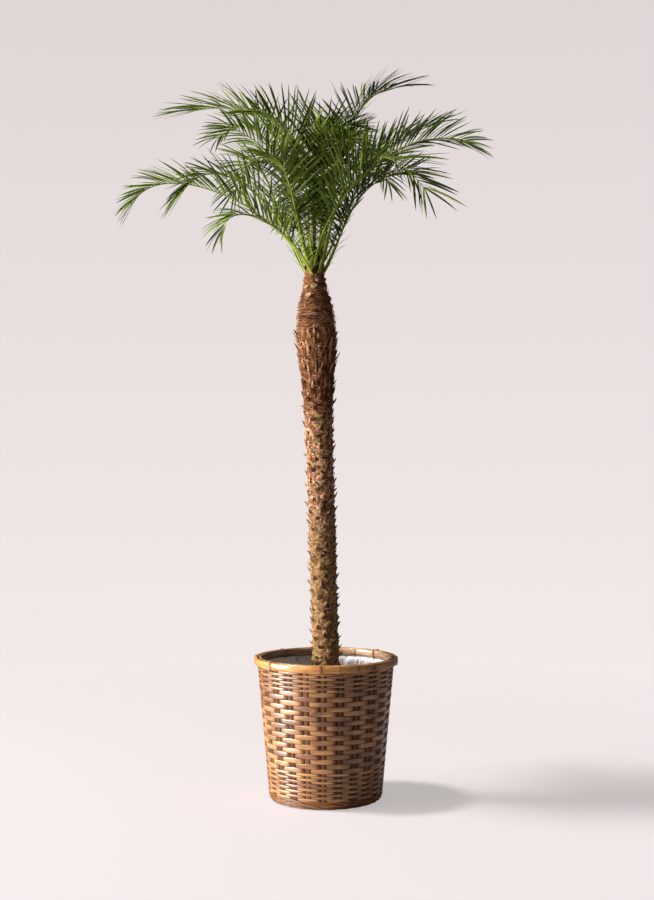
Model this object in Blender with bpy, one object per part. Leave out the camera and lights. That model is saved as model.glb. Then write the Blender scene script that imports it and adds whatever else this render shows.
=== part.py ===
# Pygmy date palm in a round basket of woven bamboo, in metres, +Z up.
# The origin is on the floor under the basket's middle, and the front of the plant looks along -Y.

from collections import namedtuple
from math import cos, pi, radians, sin

import bmesh
import bpy
from mathutils import Vector
from mathutils.bvhtree import BVHTree

GAP = 0.0003  # left between neighbouring pieces

# Basket
BASKET_HEIGHT = 0.365
BASKET_SIDES = 48  # two for each of the 24 stakes
BASKET_TURN = radians(-2.5)  # brings a stake near the front
FOOT_RADIUS = 0.135
FOOT_ROUNDING = 0.016  # height over which the wall turns in to the foot
FOOT_BEND = 0.005  # height of the ring that follows the rounding
WALL_RADIUS_LOW = 0.1468  # above the rounding
WALL_RADIUS_HIGH = 0.1785  # under the rim
WALL_THICKNESS = 0.0045  # behind the valleys of the weave
WEAVE_DEPTH = 0.0040  # from a strip's crest to its valley
WEAVE_ROWS = ((3, 0.0165), (10, 0.0205), (4, 0.0165))  # count and height, from the rim down
WEAVE_SHADE_ANGLE = radians(8)
BASE_THICKNESS = 0.006

# Rim
HOOP_HEIGHT = 0.0195
HOOP_LOW = BASKET_HEIGHT - HOOP_HEIGHT
HOOP_CHAMFER = 0.0015
PLAIN_BAND = 0.006  # of the wall under the hoops, where the weave is bound flat
WALL_TOP = BASKET_HEIGHT - 0.0012
WALL_TOP_INSIDE = WALL_RADIUS_HIGH - WALL_THICKNESS
SHOULDER_HIGH = HOOP_LOW - 0.0025  # between these heights the inside opens out to the hoops
SHOULDER_LOW = HOOP_LOW - 0.0143
HOOP_THICKNESS = 0.0057
HOOP_BULGE = 0.0008
TIE_COUNT = 8
TIE_TURN = radians(-4.5)  # from the front towards +X
TIE_WIDTH = 0.006
TIE_THICKNESS = 0.0012
LACING_START = radians(-2.5)
LACING_END = radians(30.6)
LACING_THICKNESS = 0.0030
LACING_STEPS = 9

# Filling
LINER_THICKNESS = 0.0010
LINER_TOP = BASKET_HEIGHT - 0.003
SOIL_TOP = 0.292
SOIL_HOLE_FLOOR = 0.090
ROOT_TOP = SOIL_TOP + 0.004  # where the plain stretch of the trunk ends

# Trunk
TRUNK_SIDES = 14
TRUNK_RING_STEP = 0.0268
TRUNK_CROWN = 1.425
TRUNK_RADIUS = 0.0305  # between the pegs
ROOT_RADIUS = 0.0350  # the plain stretch in the soil
NECK_RADIUS = 0.0220
NECK_FROM = 1.335
PEGS_UP_TO = 1.322
TRUNK_LEAN = 0.0300  # sideways to -X for each metre of height above the rim
PEG_LENGTH = 0.0085
PEG_RISE = 0.0060
COLLAR_MIDDLE = 1.180  # the ragged swelling under the crown
COLLAR_HALF = 0.125
COLLAR_SWELL = 0.0150
STUB_LENGTH = 0.0110
STUB_RISE = 0.0260
TRUNK_SHADE_ANGLE = radians(20)

# Crown: feet in tiers of seven, the middle tier turned back by half a step
TIER_FEET = 7
TIER_HEIGHTS = (1.352, 1.378, 1.404)
TIER_FIRST_PLACE = radians(200)
PETIOLE_WIDTH = 0.0095
RIDGE_SHARE = 0.6  # of the stalk's height that lies above its middle line
PETIOLE_HEIGHT = 0.0080
FOOT_OUT = 0.0050  # of the rachis from the neck, where it starts
FOOT_WIDTH = 0.0115
FOOT_HEIGHT = 0.0130
TIP_WIDTH = 0.0034
TIP_HEIGHT = 0.0030
PETIOLE_SHARE = 0.17  # of the frond's length, bare of leaflets
PETIOLE_STEPS = 4
LEAFLET_WIDTH = 0.0095
LEAFLET_WIDEST = 0.38  # share of its length
LEAFLET_DROOP = 0.07
LONGEST_LEAFLET_AT = 0.30  # share of the leafy stretch
FIRST_LEAFLET = 0.35  # length of the first and last leaflets, as shares of the longest
LAST_LEAFLET = 0.62
FORWARD_ANGLES = (62, 28)  # between leaflet and rachis, in degrees, at the two ends of the leafy stretch
LIFT_ANGLES = (34, 8)  # above the plane of the frond
LEAFLET_THICKNESS = 0.0011
LEAFLET_CLEARANCE = 0.0010
BENDS_TO_TRY = (0, 10, -10, 20, -20, 32, -32, 45, -45)  # degrees, where a leaflet would meet another piece
LENGTHS_TO_TRY = (1.0, 0.8, 0.6, 0.42)

# A frond starts on a foot of the crown. Its heading is in degrees from +X towards +Y, its reach and rise
# are those of the rachis tip from the crown's axis and foot, and lean and dip are the angles in degrees at
# its two ends: from upright at the foot, and below level at the tip. A larger arch rounds the way between.
# Towards the tip the leaflets' plane turns about the rachis by up to roll degrees.
Frond = namedtuple("Frond", "tier place heading reach rise lean dip arch pairs leaflet roll")
FRONDS = {
    "frond_left_low": Frond(0, 0, 193.7, 0.344, 0.203, 16.9, 57.9, 0.96, 15, 0.135, -2),
    "frond_front_left_low": Frond(0, 1, 214.3, 0.275, 0.092, 45.4, 76.1, 0.92, 13, 0.117, -7),
    "frond_right_front": Frond(0, 2, 321.4, 0.348, 0.183, 18.4, 50.4, 1.48, 16, 0.179, 34),
    "frond_right_low": Frond(0, 3, 357.3, 0.249, 0.270, 21.2, -5.8, 0.93, 14, 0.137, -25),
    "frond_back_right_low": Frond(0, 4, 57.7, 0.386, 0.311, 34.4, 43.1, 0.96, 15, 0.132, 5),
    "frond_back_low": Frond(0, 5, 100.2, 0.401, 0.223, 36.6, 49.5, 0.86, 15, 0.135, 8),
    "frond_back_left_low": Frond(0, 6, 126.3, 0.384, 0.284, 28.9, 47.4, 1.12, 15, 0.150, 1),
    "frond_left_long": Frond(1, 0, 178.3, 0.472, 0.168, 23.1, 61.7, 0.70, 17, 0.154, -13),
    "frond_front": Frond(1, 1, 237.9, 0.248, 0.231, 16.6, 30.7, 1.00, 15, 0.133, 16),
    "frond_right_long": Frond(1, 2, 335.7, 0.412, 0.284, 41.3, 23.5, 0.80, 17, 0.141, -27),
    "frond_front_right": Frond(1, 3, 307.6, 0.190, 0.286, 16.2, 36.3, 1.00, 13, 0.115, -8),
    "frond_right_upper": Frond(1, 4, 15.6, 0.347, 0.396, 22.0, -19.6, 0.90, 15, 0.132, -4),
    "frond_back": Frond(1, 5, 70.6, 0.366, 0.378, 27.3, 39.3, 1.02, 15, 0.147, -3),
    "frond_back_left": Frond(1, 6, 138.0, 0.361, 0.392, 20.5, 23.7, 0.94, 15, 0.140, 3),
    "frond_left_front": Frond(2, 0, 205.7, 0.233, 0.311, 13.7, -17.1, 0.97, 14, 0.127, 41),
    "frond_left_upright": Frond(2, 1, 216.3, 0.172, 0.348, 12.3, 0.5, 0.95, 12, 0.159, 23),
    "frond_front_upright": Frond(2, 2, 295.3, 0.129, 0.275, 10.0, 23.9, 0.99, 11, 0.120, -2),
    "frond_right_upright": Frond(2, 3, 355.8, 0.096, 0.340, 8.1, 2.6, 0.94, 12, 0.146, -17),
    "frond_upper_right": Frond(2, 4, 33.4, 0.252, 0.474, 17.4, -18.0, 0.90, 15, 0.176, 11),
    "frond_top": Frond(2, 5, 87.7, 0.229, 0.407, 10.4, 0.5, 0.92, 14, 0.162, 38),
    "frond_upper_left": Frond(2, 6, 159.7, 0.340, 0.409, 8.4, 5.0, 1.04, 16, 0.171, -16),
}
START_PULL = 0.55  # the Bezier handles at an arch of 1, as shares of the straight line from foot to tip
END_PULL = 0.42

# Spear leaf and dry spathe, in the middle of the crown
SPEAR_LENGTH = 0.300
SPEAR_RADIUS = 0.0060
SPEAR_OUTLINE = ((0, 1), (0.3, 1), (0.8, 0.6), (1, 0.15))  # share of the length, share of the radius
SPEAR_SIDES = 6
SPATHE_PLACE = radians(277)
SPATHE_OUT = 0.016  # of its foot from the crown's axis
SPATHE_LEAN = 0.014
SPATHE_LENGTH = 0.150
SPATHE_WIDTH = 0.010
SPATHE_THICKNESS = 0.0016
SPATHE_OUTLINE = ((0, 0.6), (0.3, 1.0), (0.7, 0.7), (1, 0.15))  # share of the length, share of the width

BAMBOO = (0.50, 0.29, 0.10)
HOOP_BAMBOO = (0.55, 0.33, 0.12)
RATTAN = (0.17, 0.055, 0.025)
LINER = (0.80, 0.80, 0.79)
SOIL = (0.035, 0.022, 0.015)
BARK = (0.23, 0.13, 0.075)
LEAF = (0.060, 0.130, 0.022)
SPEAR = (0.30, 0.36, 0.11)
DRY = (0.22, 0.11, 0.045)


def clear_scene():
    for item in list(bpy.data.objects):
        bpy.data.objects.remove(item)


def material(name, colour, roughness):
    made = bpy.data.materials.new(name)
    made.use_nodes = True
    shader = made.node_tree.nodes["Principled BSDF"]
    shader.inputs["Base Color"].default_value = (*colour, 1)
    shader.inputs["Roughness"].default_value = roughness
    shader.inputs["Metallic"].default_value = 0
    return made


def add_object(name, bm, finish, smooth_angle=radians(40)):
    bmesh.ops.recalc_face_normals(bm, faces=bm.faces)
    mesh = bpy.data.meshes.new(name)
    bm.to_mesh(mesh)
    bm.free()
    mesh.shade_smooth()
    mesh.set_sharp_from_angle(angle=smooth_angle)
    mesh.materials.append(finish)
    made = bpy.data.objects.new(name, mesh)
    bpy.context.scene.collection.objects.link(made)
    return made


def compass(angle):
    return Vector((cos(angle), sin(angle), 0))


def ring_points(radius, height, sides, turn=0.0, centre=(0.0, 0.0)):
    """Points of a level circle; radius is a number, or a function of the point's index."""
    size = radius if callable(radius) else lambda index: radius
    angles = [turn + 2 * pi * index / sides for index in range(sides)]
    return [
        (centre[0] + size(i) * cos(angle), centre[1] + size(i) * sin(angle), height)
        for i, angle in enumerate(angles)
    ]


def loft(rings, closed=False):
    """A tube through rings of points, capped at both ends unless its last ring meets its first."""
    bm = bmesh.new()
    loops = [[bm.verts.new(point) for point in ring] for ring in rings]
    count = len(loops[0])
    pairs = list(zip(loops, loops[1:]))
    if closed:
        pairs.append((loops[-1], loops[0]))
    for low, high in pairs:
        for i in range(count):
            j = (i + 1) % count
            bm.faces.new((low[i], low[j], high[j], high[i]))
    if not closed:
        bm.faces.new(loops[0])
        bm.faces.new(loops[-1])
    return bm


def wall_radius(height):
    """Outer radius of the basket, at the crests of the weave."""
    if height < FOOT_ROUNDING:
        across = 1 - height / FOOT_ROUNDING
        return FOOT_RADIUS + (WALL_RADIUS_LOW - FOOT_RADIUS) * (1 - across * across) ** 0.5
    share = (height - FOOT_ROUNDING) / (BASKET_HEIGHT - FOOT_ROUNDING)
    return WALL_RADIUS_LOW + (WALL_RADIUS_HIGH - WALL_RADIUS_LOW) * share


def between(ends, share):
    return ends[0] + (ends[1] - ends[0]) * share


def wall_inside(height):
    """Inner radius of the wall: a cone, a shoulder that opens out, and an upright band at the hoops."""
    foot, shoulder = (
        wall_radius(level) - WEAVE_DEPTH - WALL_THICKNESS for level in (BASE_THICKNESS, SHOULDER_LOW)
    )
    if height < SHOULDER_LOW:
        return between((foot, shoulder), (height - BASE_THICKNESS) / (SHOULDER_LOW - BASE_THICKNESS))
    share = (height - SHOULDER_LOW) / (SHOULDER_HIGH - SHOULDER_LOW)
    return between((shoulder, WALL_TOP_INSIDE), min(share, 1))


def weave_heights():
    """Middles of the woven rows, from the foot up."""
    middles = []
    edge = HOOP_LOW - PLAIN_BAND
    for count, height in WEAVE_ROWS:
        for _ in range(count):
            middles.append(edge - height / 2)
            edge -= height
    return middles[::-1]


def basket_ring(radius, height):
    return ring_points(radius, height, BASKET_SIDES, BASKET_TURN)


def woven_ring(row, height):
    """Crest and valley by turns, and the other way round in the next row."""
    crest = wall_radius(height)
    valley = crest - WEAVE_DEPTH
    return basket_ring(lambda index: crest if (index + row) % 2 else valley, height)


def make_basket_wall(finish):
    band_low = HOOP_LOW - PLAIN_BAND
    rings = [basket_ring(FOOT_RADIUS, 0), basket_ring(wall_radius(FOOT_BEND), FOOT_BEND)]
    rings += [woven_ring(row, height) for row, height in enumerate(weave_heights())]
    rings.append(basket_ring(wall_radius(band_low), band_low))
    rings.append(basket_ring(WALL_RADIUS_HIGH, WALL_TOP))
    inside = (WALL_TOP, SHOULDER_HIGH, SHOULDER_LOW, BASE_THICKNESS)
    rings += [basket_ring(wall_inside(height), height) for height in inside]
    return add_object("basket_wall", loft(rings), finish, WEAVE_SHADE_ANGLE)


def make_hoop(name, radius, bulge, finish):
    """A bamboo hoop from a radius outwards for a bulge of 1, or inwards for -1, bulging on that face."""
    face = radius + bulge * HOOP_THICKNESS
    profile = (
        (radius, HOOP_LOW),
        (face - bulge * HOOP_CHAMFER, HOOP_LOW),
        (face, HOOP_LOW + HOOP_CHAMFER),
        (face + bulge * HOOP_BULGE, HOOP_LOW + HOOP_HEIGHT / 2),
        (face, BASKET_HEIGHT - HOOP_CHAMFER),
        (radius, BASKET_HEIGHT),
    )
    rings = [basket_ring(size, height) for size, height in profile]
    return add_object(name, loft(rings, closed=True), finish)


def front_angle(turn):
    """Angle from +X of a direction given from the front towards +X."""
    return radians(270) + turn


def make_tie(name, turn, outer, inner, finish):
    """A flat strap over both hoops, from the wall outside to the liner inside."""
    angle = front_angle(turn)
    along = compass(angle + pi / 2) * (TIE_WIDTH / 2)
    away = compass(angle)
    low = HOOP_LOW - GAP
    top = BASKET_HEIGHT + GAP
    facet = cos(pi / BASKET_SIDES)
    inside = inner * facet - HOOP_BULGE - GAP
    outside = outer + HOOP_BULGE + GAP
    wall_face = WALL_RADIUS_HIGH + GAP
    inner_face = WALL_TOP_INSIDE * facet - LINER_THICKNESS - 3 * GAP
    thick = TIE_THICKNESS
    path = (
        ((wall_face, low), (wall_face, low - thick)),
        ((outside, low), (outside + thick, low - thick)),
        ((outside, top), (outside + thick, top + thick)),
        ((inside, top), (inside - thick, top + thick)),
        ((inside, low), (inside - thick, low - thick)),
        ((inner_face, low), (inner_face, low - thick)),
    )
    rings = []
    for near, far in path:
        corners = []
        for (size, height), side in ((near, 1), (far, 1), (far, -1), (near, -1)):
            corners.append(away * size + Vector((0, 0, height)) + along * side)
        rings.append(corners)
    return add_object(name, loft(rings), finish)


def make_lacing(finish):
    """A strand of square section, standing on a corner, along the wall just under the outer hoop."""
    half = LACING_THICKNESS / 2
    radius = wall_radius(HOOP_LOW) + GAP + half
    height = HOOP_LOW - 2 * GAP - half
    rings = []
    for step in range(LACING_STEPS + 1):
        angle = front_angle(LACING_START + (LACING_END - LACING_START) * step / LACING_STEPS)
        away = compass(angle)
        middle = away * radius + Vector((0, 0, height))
        up = Vector((0, 0, half))
        rings.append([middle + away * half, middle + up, middle - away * half, middle - up])
    return add_object("rim_lacing", loft(rings), finish)


def make_liner(finish):
    """A bag one gap inside the wall, open at the top."""
    floor = BASE_THICKNESS + GAP
    heights = (floor, SHOULDER_LOW, SHOULDER_HIGH, LINER_TOP)
    outside = [(wall_inside(height) - GAP, height) for height in heights]
    inside = [(size - LINER_THICKNESS, height) for size, height in outside[:0:-1]]
    inside.append((outside[0][0] - LINER_THICKNESS, floor + LINER_THICKNESS))
    rings = [basket_ring(size, height) for size, height in outside + inside]
    return add_object("liner", loft(rings), finish)


def trunk_ring(radius, height):
    """A ring of the trunk, turned so that each foot of the crown has a facet of its own."""
    turn = TIER_FIRST_PLACE - pi / TRUNK_SIDES
    return ring_points(radius, height, TRUNK_SIDES, turn, trunk_centre(height))


def make_soil(finish):
    floor = BASE_THICKNESS + LINER_THICKNESS + 2 * GAP
    shrink = LINER_THICKNESS + 2 * GAP
    rings = [basket_ring(wall_inside(height) - shrink, height) for height in (floor, SOIL_TOP)]
    soil = add_object("potting_soil", loft(rings), finish)
    hole_radius = ROOT_RADIUS + GAP / cos(pi / TRUNK_SIDES)
    hole_top = SOIL_TOP + BASE_THICKNESS
    hole_rings = [trunk_ring(hole_radius, SOIL_HOLE_FLOOR), trunk_ring(hole_radius, hole_top)]
    hole = add_object("soil_hole_cutter", loft(hole_rings), finish)
    hole.hide_render = True
    hole.display_type = "WIRE"
    cut = soil.modifiers.new("trunk hole", "BOOLEAN")
    cut.operation = "DIFFERENCE"
    cut.object = hole
    return soil


def trunk_centre(height):
    return (-TRUNK_LEAN * max(height - BASKET_HEIGHT, 0.0), 0.0)


def collar_share(height):
    """1 in the middle of the ragged collar, falling to 0 at its ends."""
    off = abs(height - COLLAR_MIDDLE) / COLLAR_HALF
    return max(0.0, 1 - off * off)


def trunk_radius(height):
    if height > NECK_FROM:
        return NECK_RADIUS
    return TRUNK_RADIUS + COLLAR_SWELL * collar_share(height)


def make_trunk(finish):
    rings = [trunk_ring(ROOT_RADIUS, SOIL_HOLE_FLOOR + GAP), trunk_ring(ROOT_RADIUS, ROOT_TOP)]
    steps = round((TRUNK_CROWN - ROOT_TOP) / TRUNK_RING_STEP)
    for step in range(1, steps + 1):
        height = ROOT_TOP + (TRUNK_CROWN - ROOT_TOP) * step / steps
        rings.append(trunk_ring(trunk_radius(height), height))
    bm = loft(rings)
    bm.faces.ensure_lookup_table()
    pegged = []
    for band in range(2, steps):
        for side in range(TRUNK_SIDES):
            face = bm.faces[band * TRUNK_SIDES + side]
            if (band + side) % 2 and face.calc_center_median().z < PEGS_UP_TO:
                pegged.append(face)
    for tip in bmesh.ops.poke(bm, faces=pegged)["verts"]:
        share = collar_share(tip.co.z) ** 0.5
        middle = trunk_centre(tip.co.z)
        away = Vector((tip.co.x - middle[0], tip.co.y - middle[1], 0)).normalized()
        tip.co += away * (PEG_LENGTH + (STUB_LENGTH - PEG_LENGTH) * share)
        tip.co.z += PEG_RISE + (STUB_RISE - PEG_RISE) * share
    return add_object("trunk", bm, finish, TRUNK_SHADE_ANGLE)


def foot_angle(frond):
    step = 2 * pi / TIER_FEET
    return TIER_FIRST_PLACE + step * frond.place - step / 2 * (frond.tier % 2)


def rachis_point(frond, share):
    """A point of the rachis, on a Bezier curve from its foot to its tip."""
    height = TIER_HEIGHTS[frond.tier]
    middle = Vector((*trunk_centre(height), height))
    outward = compass(foot_angle(frond))
    ahead = compass(radians(frond.heading))
    foot = middle + outward * (NECK_RADIUS + FOOT_OUT)
    tip = middle + ahead * frond.reach + Vector((0, 0, frond.rise))
    lean = radians(frond.lean)
    dip = radians(frond.dip)
    start = outward * sin(lean) + Vector((0, 0, cos(lean)))
    end = ahead * cos(dip) - Vector((0, 0, sin(dip)))
    pull = (tip - foot).length * frond.arch
    first = foot + start * pull * START_PULL
    second = tip - end * pull * END_PULL
    rest = 1 - share
    point = foot * rest**3 + first * (3 * rest * rest * share)
    return point + second * (3 * rest * share * share) + tip * share**3


def rachis_frame(frond, share):
    """Point, direction, sideways and upward of the rachis at a share of its length."""
    step = 0.01
    here = rachis_point(frond, share)
    ahead = rachis_point(frond, min(share + step, 1.0))
    behind = rachis_point(frond, max(share - step, 0.0))
    along = (ahead - behind).normalized()
    side = compass(radians(frond.heading + 90))
    side = (side - along * side.dot(along)).normalized()
    return here, along, side, along.cross(side)


def rachis_shares(frond):
    """Shares of the length at which the rachis has a ring: bare stalk, then one step for each leaflet."""
    shares = [PETIOLE_SHARE * step / PETIOLE_STEPS for step in range(PETIOLE_STEPS)]
    steps = 2 * frond.pairs
    leafy = [PETIOLE_SHARE + (1 - PETIOLE_SHARE) * step / steps for step in range(steps + 1)]
    return shares + leafy


def foot_ring(frond, here):
    """A flat leaf base on the crown's facet, one gap clear of it."""
    outward = compass(foot_angle(frond))
    across = compass(foot_angle(frond) + pi / 2) * (FOOT_WIDTH / 2)
    facet = NECK_RADIUS * cos(pi / TRUNK_SIDES) + GAP
    face = here - outward * (NECK_RADIUS + FOOT_OUT - facet)
    up = Vector((0, 0, FOOT_HEIGHT / 2))
    return [face + up, face - up + across, face - up - across]


def rachis_ring(frond, share):
    """A triangle with its ridge up, in the order ridge, left, right seen from the foot."""
    here, _, side, up = rachis_frame(frond, share)
    if share == 0:
        return foot_ring(frond, here)
    half = side * (PETIOLE_WIDTH + (TIP_WIDTH - PETIOLE_WIDTH) * share) / 2
    height = up * (PETIOLE_HEIGHT + (TIP_HEIGHT - PETIOLE_HEIGHT) * share)
    low = here - height * (1 - RIDGE_SHARE)
    return [here + height * RIDGE_SHARE, low + half, low - half]


def leaflet_length(frond, leafy):
    """Short at the stalk, longest before the middle and shorter towards the tip."""
    if leafy < LONGEST_LEAFLET_AT:
        return frond.leaflet * between((FIRST_LEAFLET, 1), leafy / LONGEST_LEAFLET_AT)
    rest = (leafy - LONGEST_LEAFLET_AT) / (1 - LONGEST_LEAFLET_AT)
    return frond.leaflet * between((1, LAST_LEAFLET), rest)


def leaflet_blade(frond, share, left, length_scale, bend):
    """Four corners of the blade at its widest, and its tip; bend lifts or drops it, in degrees."""
    leafy = (share - PETIOLE_SHARE) / (1 - PETIOLE_SHARE)
    here, along, side, up = rachis_frame(frond, share)
    roll = radians(frond.roll * leafy)
    side, up = side * cos(roll) + up * sin(roll), up * cos(roll) - side * sin(roll)
    forward = radians(between(FORWARD_ANGLES, leafy))
    lift = radians(between(LIFT_ANGLES, leafy) + bend)
    sign = 1 if left else -1
    direction = along * cos(forward) + (side * (sign * cos(lift)) + up * sin(lift)) * sin(forward)
    across = (along - direction * along.dot(direction)).normalized()
    normal = direction.cross(across)
    if normal.dot(up) < 0:
        normal = -normal
    length = leaflet_length(frond, leafy) * length_scale
    widest = here + direction * length * LEAFLET_WIDEST
    half = across * (LEAFLET_WIDTH / 2)
    thick = normal * (LEAFLET_THICKNESS / 2)
    corners = [widest - half + thick, widest + half + thick, widest + half - thick, widest - half - thick]
    tip = here + direction * length - Vector((0, 0, length * LEAFLET_DROOP))
    return corners, tip


def tube_faces(rings, sides):
    faces = []
    for ring in range(rings - 1):
        for i in range(sides):
            j = (i + 1) % sides
            low = ring * sides
            faces.append((low + i, low + j, low + sides + j, low + sides + i))
    return faces


def root_corners(frond, low_share, high_share, left):
    """The side of the rachis that a leaflet grows from, in the order of the blade's corners."""
    low = rachis_ring(frond, low_share)
    high = rachis_ring(frond, high_share)
    edge = 1 if left else 2
    return [low[0], high[0], high[edge], low[edge]]


def swollen_blade(root, corners, tip):
    """The blade swollen by the clearance, from just off the rachis to its tip, for crossing tests."""
    across = (corners[1] - corners[0]).normalized() * LEAFLET_CLEARANCE
    thick = (corners[0] - corners[3]).normalized() * LEAFLET_CLEARANCE
    grow = (-across + thick, across + thick, across - thick, -across - thick)
    middle = sum(root, Vector()) / 4
    outward = (sum(corners, Vector()) / 4 - middle).normalized() * LEAFLET_CLEARANCE
    ring_low = [middle + (corner - middle) * 0.9 + outward for corner in root]
    ring_mid = [corner + more for corner, more in zip(corners, grow)]
    ring_end = [tip + more for more in grow]
    return ring_low + ring_mid + ring_end, [(0, 1, 2, 3), (8, 9, 10, 11), *tube_faces(3, 4)]


def box_of(points):
    low = [min(point[axis] for point in points) for axis in range(3)]
    high = [max(point[axis] for point in points) for axis in range(3)]
    return low, high


def boxes_meet(first, second):
    return all(
        first[0][axis] <= second[1][axis] and second[0][axis] <= first[1][axis] for axis in range(3)
    )


class Taken:
    """What is already in the crown: boxes and trees of the solids that a new leaflet must clear."""

    def __init__(self):
        self.solids = []

    def add(self, points, faces, stalk_of=None):
        self.solids.append((box_of(points), BVHTree.FromPolygons(points, faces), stalk_of))

    def meets(self, points, faces, name):
        box = box_of(points)
        near = [
            tree for other, tree, stalk_of in self.solids if stalk_of != name and boxes_meet(box, other)
        ]
        if not near:
            return False
        blade = BVHTree.FromPolygons(points, faces)
        return any(blade.overlap(tree) for tree in near)


def terminal_tip(frond):
    here, along, _, _ = rachis_frame(frond, 1.0)
    return here + along * frond.leaflet * LAST_LEAFLET


def take_rachises(taken):
    for name, frond in FRONDS.items():
        shares = rachis_shares(frond)
        points = [point for share in shares for point in rachis_ring(frond, share)]
        last = len(points)
        tip_faces = [(last - 3, last - 2, last), (last - 2, last - 1, last), (last - 1, last - 3, last)]
        taken.add([*points, terminal_tip(frond)], tube_faces(len(shares), 3) + tip_faces, name)


def choose_leaflet(taken, name, frond, shares, left):
    """The first of a few bends and lengths that clears what is there, or None."""
    root = root_corners(frond, *shares, left)
    for length_scale in LENGTHS_TO_TRY:
        for bend in BENDS_TO_TRY:
            corners, tip = leaflet_blade(frond, sum(shares) / 2, left, length_scale, bend)
            points, faces = swollen_blade(root, corners, tip)
            if not taken.meets(points, faces, name):
                taken.add(points, faces)
                return corners, tip
    return None


def make_frond(name, frond, taken, finish):
    """A rachis of triangular section, with leaflets grown from its left and right sides by turns."""
    shares = rachis_shares(frond)
    bm = loft([rachis_ring(frond, share) for share in shares])
    faces = list(bm.faces)
    grown = []
    for band in range(PETIOLE_STEPS, len(shares) - 1):
        left = (band - PETIOLE_STEPS) % 2 == 0
        blade = choose_leaflet(taken, name, frond, shares[band : band + 2], left)
        if blade:
            grown.append((faces[3 * band + (0 if left else 2)], left, *blade))
    end = bmesh.ops.poke(bm, faces=[faces[-1]])["verts"][0]
    end.co = terminal_tip(frond)
    for face, left, corners, tip in grown:
        grow_leaflet(bm, face, left, corners, tip)
    return add_object(name, bm, finish)


def grow_leaflet(bm, face, left, corners, tip):
    """Extrudes a blade from a side of the rachis: its corners go to the widest place, its end to the tip."""
    # A left side runs ridge, edge, edge ahead, ridge ahead, and a right side starts at its edge.
    order = (0, 3, 2, 1) if left else (3, 0, 1, 2)
    start = face.verts[0].co.copy()
    blade = bmesh.ops.extrude_discrete_faces(bm, faces=[face])["faces"][0]
    first = min(range(4), key=lambda i: (blade.verts[i].co - start).length)
    for i in range(4):
        blade.verts[(first + i) % 4].co = corners[order[i]]
    bmesh.ops.poke(bm, faces=[blade])["verts"][0].co = tip


def make_spear(finish):
    foot = TRUNK_CROWN + GAP
    rings = []
    for share, size in SPEAR_OUTLINE:
        height = foot + SPEAR_LENGTH * share
        rings.append(ring_points(SPEAR_RADIUS * size, height, SPEAR_SIDES, 0, trunk_centre(foot)))
    return add_object("spear_leaf", loft(rings), finish)


def make_spathe(finish):
    """A thin dry blade that stands on the crown in front of the spear leaf."""
    foot = TRUNK_CROWN + GAP
    away = compass(SPATHE_PLACE)
    across = compass(SPATHE_PLACE + pi / 2)
    middle = Vector((*trunk_centre(foot), foot))
    rings = []
    for share, width in SPATHE_OUTLINE:
        here = middle + away * (SPATHE_OUT + SPATHE_LEAN * share) + Vector((0, 0, SPATHE_LENGTH * share))
        half = across * (SPATHE_WIDTH / 2 * width)
        thick = away * SPATHE_THICKNESS
        rings.append([here - half, here + half, here + half + thick, here - half + thick])
    return add_object("dry_spathe", loft(rings), finish)


def main():
    clear_scene()
    bamboo = material("bamboo strips", BAMBOO, 0.45)
    hoop = material("bamboo hoops", HOOP_BAMBOO, 0.35)
    rattan = material("rattan", RATTAN, 0.5)
    leaf = material("leaf", LEAF, 0.45)
    make_basket_wall(bamboo)
    make_hoop("rim_outer", WALL_RADIUS_HIGH + GAP, 1, hoop)
    inner = WALL_TOP_INSIDE - 2 * GAP - LINER_THICKNESS
    make_hoop("rim_inner", inner, -1, hoop)
    for number in range(TIE_COUNT):
        turn = TIE_TURN + 2 * pi * number / TIE_COUNT
        outer_face = WALL_RADIUS_HIGH + GAP + HOOP_THICKNESS
        make_tie(f"rim_tie_{number}", turn, outer_face, inner - HOOP_THICKNESS, rattan)
    make_lacing(rattan)
    make_liner(material("liner", LINER, 0.4))
    make_soil(material("potting soil", SOIL, 0.95))
    make_trunk(material("bark", BARK, 0.85))
    spear = make_spear(material("spear leaf", SPEAR, 0.4))
    spathe = make_spathe(material("dry spathe", DRY, 0.8))
    taken = Taken()
    take_rachises(taken)
    for upright in (spear, spathe):
        points = [vertex.co for vertex in upright.data.vertices]
        taken.add(points, [tuple(face.vertices) for face in upright.data.polygons])
    for name, frond in FRONDS.items():
        make_frond(name, frond, taken, leaf)


main()
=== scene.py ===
# Pygmy date palm in a lined basket of woven bamboo. Metres, +Z up, the front towards -Y.
import math
import random

import bmesh
import bpy
import numpy as np
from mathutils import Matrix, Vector, kdtree, noise


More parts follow.
